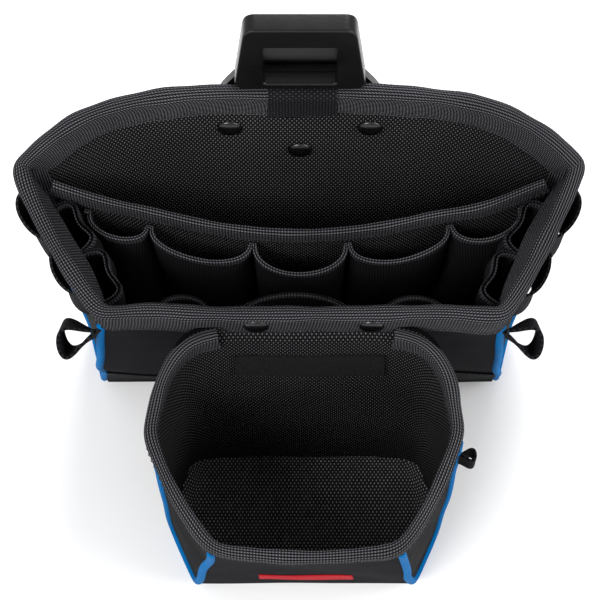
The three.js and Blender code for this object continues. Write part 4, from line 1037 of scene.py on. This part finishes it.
@dataclass
class FrontPouch(SewnPouch):
    """The smaller pouch that swings on the main one's front."""

    body: str = "front_pouch"
    shift: float = 3.0
    front_height: float = 152.0
    front_low: float = 15.3
    front_bow: float = 3.0
    rear_height: float = 163.0
    rear_low: float = 1.3
    toe_radius: float = 14.0
    heel_radius: float = 14.0
    foot_gap: float = 0.4
    piping_down: tuple[float, float, int] = (0.92, 0.03, 36)
    piping_up: tuple[float, float, int] = (0.1, 0.92, 36)
    tuck: float = 0.9
    lap: float = 3.0
    leg: float = 13.0
    rim_half: float = 2.9
    back_y: float = 92.6
    hang: float = 195.0
    hanger: float = 3.3  # how far the back wall goes on above its fold
    blend_half: float = 4.0
    top_half: float = 50.0
    foot_half: float = 60.0
    wing_half: float = 79.0
    foot_wing_half: float = 77.0
    wing_depth: float = 40.0
    front_half: float = 47.0
    front_depth: float = 102.0
    base_half: float = 61.0
    base_depth: float = 79.0
    side_bow: float = 3.0
    floor_rise: float = 9.0
    floor_rise_limit: float = 10.0

    def plan(self, half: float, wing: float) -> Callable[[Array], Array]:
        """The back wall's line from above, from the right wing to the left."""
        knee = lerp(half, wing, 0.75)
        return spline([(wing, -self.wing_depth), (knee, -0.42 * self.wing_depth), (half, -1.5),
                       (0, 0), (-half, -1.5), (-knee, -0.42 * self.wing_depth),
                       (-wing, -self.wing_depth)])

    def back(self, u: Array, v: Array, hanger: float = 0.0) -> Array:
        """The back wall with its wings; hanger is how far its middle goes on above the fold."""
        top = self.plan(self.top_half, self.wing_half)(u)
        foot = self.plan(self.foot_half, self.foot_wing_half)(u)
        p = lerp(foot, top, v[..., None])
        fall = smooth(-top[..., 1] / self.wing_depth)
        crest = self.hang - 0.4 + hanger
        z = lerp(4.0, lerp(crest, self.rear_height, fall), v)
        toward = min(hanger, 3.2) * smooth((z - self.hang + 10) / 10)
        return points(p[..., 0] + self.shift, p[..., 1] - self.back_y - self.wall / 2 + toward,
                      z)

    def front_seam(self, side: float, k: Array) -> Array:
        """The line of a front corner seam, by the share k of its height."""
        return points(self.shift + side * lerp(self.base_half, self.front_half, k),
                      -self.back_y - lerp(self.base_depth, self.front_depth, k),
                      lerp(self.base_thick / 2 + self.toe_radius, self.front_height, k))

    def rear_seam(self, side: float, k: Array) -> Array:
        """The seam between a wing and its gusset, by the share k of its height."""
        edge = self.back(np.full_like(k, 0.0 if side > 0 else 1.0), k)
        edge[..., 1] -= self.piping + 0.5
        return edge

    def gusset_bow(self, share: Array, v: Array) -> Array:
        """How far a gusset stands out."""
        return self.side_bow * np.sin(math.pi * share) * v

    def floor(self, u: Array, v: Array) -> Array:
        """The base between the walls' feet, rounded up where it meets them."""
        side = 2 * u - 1
        front, rear = -self.base_depth + self.toe_radius, -self.wall / 2
        y = lerp(front, rear, v)
        wings = self.plan(self.foot_half, self.foot_wing_half)(np.linspace(0, 0.5, 60))
        widest = np.interp(y, [front, -self.wing_depth], [self.base_half, self.foot_wing_half])
        behind = np.interp(y, wings[:, 1], wings[:, 0])
        half = np.where(y > -self.wing_depth, behind, widest) - 1
        rise = self.floor_rise * (smooth((v - 0.8) / 0.2) ** 2
                                  + smooth((np.abs(side) - 0.86) / 0.14) ** 2)
        return points(self.shift + side * half, y - self.back_y,
                      self.base_thick / 2 + np.minimum(rise, self.floor_rise_limit))

    def build_walls(self) -> None:
        """Makes the back wall, shaped over its fold and left on no body, the other walls and the
        base.
        """
        hung: Surface = lambda u, v: self.back(u, v, self.hanger)
        back = dress(panel("pouch_back_wall", hung, 110, 90, self.wall), Kit.WEAVE, "",
                     "pouch_back", "pouch_hanger")
        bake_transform(back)
        dress(panel("pouch_front_wall", self.front, 60, 60, self.wall), Kit.OUTER, self.body,
              "pouch_front")
        dress(panel("pouch_front_lining", self.lining(), 50, 50, 0.3), Kit.WEAVE, self.body)
        # the floor takes the lit copy of the coarse weave: painted light in the pouch's shaded
        # bottom
        dress(panel("pouch_floor", self.floor, 60, 40, self.base_thick, 0.0), Kit.FLOOR,
              self.body, "pouch_base")
        for side, word in SIDES:
            dress(panel(f"pouch_side_{word}", self.side_wall(side), 36, 60, self.gusset),
                  Kit.COATED, self.body, f"pouch_gusset_{word}")
            dress(tube(f"pouch_seam_piping_{word}", self.piping_path(side), self.piping),
                  Kit.PIPING, self.body, f"pouch_piping_{word}")

    def build_trim(self) -> None:
        """Makes the rim's binding, the pile strip and the red label."""
        rim = self.rim((0.645, 1.0), (0.0, 0.355)).rounded(1.6, 4)
        bind("pouch_rim_binding", rim, self.leg, self.body,
             ("pouch_binding_wing_left", "pouch_binding_left", "pouch_binding_front",
              "pouch_binding_right", "pouch_binding_wing_right"))
        strip = offset(part(self.back, 0.375, 0.61, 0.73, 0.87), -(self.wall / 2 + 0.9))
        dress(panel("pile_strip", strip, 40, 16, 1.6), Kit.PILE, self.body, "hook_loop_strip")
        label = offset(part(self.front, 0.28, 0.74, 0.3, 0.42), self.wall / 2 + 0.5)
        dress(panel("red_label", label, 30, 6, 0.6), Kit.LABEL, self.body, "front_label")

    def build_tab(self) -> None:
        """Makes the small folded tab on the right wing."""
        lo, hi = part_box("pouch_side_tab")
        y = (lo.y + hi.y) / 2 / MM - REAR
        t = np.linspace(0, 1, 25)
        reach = (hi.x - lo.x) / MM * np.sin(math.pi * t) ** 0.7
        spread = 3.2 * np.sin(2 * math.pi * t)
        rows = [points(lo.x / MM - 2 + reach, y + spread, z + 0 * t)
                for z in np.linspace(lo.z, hi.z, 7) / MM]
        dress(lay("wing_tab", np.array(rows), 1.2), Kit.STRAP, self.body, "pouch_side_tab")

    def build(self) -> None:
        """Makes the whole front pouch."""
        self.build_walls()
        self.build_trim()
        self.build_tab()


# ---------------------------------------------------------------- click holder and rivets


@dataclass
class Hardware:
    """The moulded click holder and every rivet."""

    head_radius: float = 6.4
    head_height: float = 2.2
    head_flange: float = 0.4
    hanger_step: float = 2.6  # how much deeper a hanger rivet's head sits than its end

    def moulded(self, node: str, body: str, bevel: float, kit: Kit = Kit.MOULDED) -> None:
        """A copy of a hard CAD node with merged corners and rounded edges."""
        deselect()
        piece = frame["nodes"][node].copy()
        piece.data = frame["nodes"][node].data.copy()
        piece.parent = None
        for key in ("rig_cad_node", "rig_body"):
            if key in piece:
                del piece[key]
        bpy.context.scene.collection.objects.link(piece)
        piece.name = f"{node}_moulding"
        activate(piece)
        bpy.ops.object.mode_set(mode="EDIT")
        bpy.ops.mesh.select_all(action="SELECT")
        bpy.ops.mesh.remove_doubles(threshold=1e-5)
        bpy.ops.mesh.select_all(action="SELECT")
        bpy.ops.mesh.dissolve_limited(angle_limit=math.radians(1))
        bpy.ops.object.mode_set(mode="OBJECT")
        modify(piece, "BEVEL", width=bevel * MM, segments=3, limit_method="ANGLE",
               angle_limit=math.radians(35), harden_normals=False)
        activate(piece)
        bpy.ops.object.shade_smooth_by_angle(angle=math.radians(40))
        modify(piece, "WEIGHTED_NORMAL", keep_sharp=True, weight=100)
        dress(piece, kit, body, node)

    def rivet(self, node: str, name: str, inside: bool) -> None:
        """A domed rivet head on a flange, at one end of a CAD rivet."""
        lo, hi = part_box(node)
        x, z = (lo.x + hi.x) / 2, (lo.z + hi.z) / 2
        face = lo.y + (self.head_height + (0.0 if inside else self.hanger_step)) * MM
        deselect()
        bpy.ops.mesh.primitive_uv_sphere_add(segments=32, ring_count=16,
                                             radius=self.head_radius * MM)
        piece = bpy.context.object
        piece.name = name
        bpy.ops.object.mode_set(mode="EDIT")
        bpy.ops.mesh.select_all(action="SELECT")
        bpy.ops.mesh.bisect(plane_co=(0, 0, 0), plane_no=(0, 0, 1), clear_inner=True)
        bpy.ops.mesh.extrude_region_move(
            TRANSFORM_OT_translate={"value": (0, 0, -self.head_flange * MM)})
        bpy.ops.mesh.fill_holes(sides=0)
        bpy.ops.mesh.select_all(action="SELECT")
        bpy.ops.mesh.normals_make_consistent(inside=False)
        bpy.ops.object.mode_set(mode="OBJECT")
        piece.scale = (1, 1, self.head_height / self.head_radius)
        piece.rotation_euler = (math.pi / 2, 0, 0)
        piece.location = (x, face, z)
        activate(piece)
        bpy.ops.object.transform_apply(location=True, rotation=True, scale=True)
        bpy.ops.object.shade_smooth_by_angle(angle=SHARP_ANGLE)
        dress(piece, Kit.RIVET, "main_pouch", node)

    def build(self) -> None:
        """Makes the click holder and the rivets."""
        self.moulded("handle_frame", "main_pouch", 0.9)
        self.moulded("click_plate", "main_pouch", 0.7)
        self.moulded("release_lever", "release_lever", 0.6)
        for node, kit in (("lever_pin", Kit.RIVET), ("lever_spring", Kit.SPRING)):
            shown = frame["nodes"][node]
            shown.data.materials.clear()
            shown.data.materials.append(finish_of(kit))
        for i in range(1, 4):
            self.rivet(f"panel_rivet_{i}", f"panel_rivet_head_{i}", True)
        for i in range(1, 3):
            self.rivet(f"hanger_rivet_{i}", f"hanger_rivet_head_{i}", False)


# ---------------------------------------------------------------- studio


def facing(at: Sequence[float], to: Sequence[float]) -> Euler:
    """The rotation of a lamp or camera at one point that looks at another."""
    return (Vector(to) - Vector(at)).to_track_quat("-Z", "Y").to_euler()


@dataclass
class Studio:
    """Floor, lights and camera. Sizes in metres."""

    floor_size: float = 12.0
    camera_at: tuple[float, float, float] = (0.0, (REAR - 452.7) * MM, 1.0195)
    camera_to: tuple[float, float, float] = (0.0, (REAR - 94.55) * MM, 0.23624)
    lens: float = 106.96
    lamps_to: tuple[float, float, float] = (0.0, 0.0, 0.15)
    air: float = 0.75
    lamps: tuple[tuple[str, tuple[float, float, float], float, float], ...] = (
        ("key_light", (-0.9, -0.9, 1.5), 0.9, 26),
        ("fill_light", (1.2, -0.3, 1.1), 1.0, 14),
        ("rim_light", (0.2, 1.3, 1.0), 0.8, 18))

    def light(self, name: str, at: Sequence[float], size: float, power: float) -> None:
        """A square soft light that points at the pouch."""
        data = bpy.data.lights.new(name, "AREA")
        data.shape = "SQUARE"
        data.size = size
        data.energy = power
        lamp = bpy.data.objects.new(name, data)
        bpy.context.scene.collection.objects.link(lamp)
        lamp.location = at
        lamp.rotation_euler = facing(at, self.lamps_to)

    def build(self) -> None:
        """Makes the studio."""
        deselect()
        bpy.ops.mesh.primitive_plane_add(size=self.floor_size)
        floor = bpy.context.object
        floor.name = "studio_floor"
        g = Graph("studio_paper")
        g.link(g.ramp(g.noise(2.0), (0.86, 0.86, 0.87), (0.9, 0.9, 0.9)),
               g.shader.inputs["Base Color"])
        g.shader.inputs["Roughness"].default_value = 0.9
        floor.data.materials.append(g.material)
        world = bpy.data.worlds.new("studio_air")
        world.use_nodes = True
        sky = world.node_tree.nodes["Background"]
        sky.inputs[0].default_value = (1, 1, 1, 1)
        sky.inputs[1].default_value = self.air
        bpy.context.scene.world = world
        for lamp in self.lamps:
            self.light(*lamp)
        data = bpy.data.cameras.new("studio_camera")
        data.lens = self.lens
        data.sensor_width = 36.0
        camera = bpy.data.objects.new("studio_camera", data)
        bpy.context.scene.collection.objects.link(camera)
        camera.location = self.camera_at
        camera.rotation_euler = facing(self.camera_at, self.camera_to)
        bpy.context.scene.camera = camera
        bpy.context.scene.view_settings.view_transform = "Standard"


def main() -> None:
    """Builds the studio and every sub-assembly."""
    logging.basicConfig(level=logging.INFO, format="%(name)s: %(message)s")
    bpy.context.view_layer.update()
    Studio().build()
    MainPouch().build()
    FrontPouch().build()
    Hardware().build()


if __name__ == "__main__":
    main()
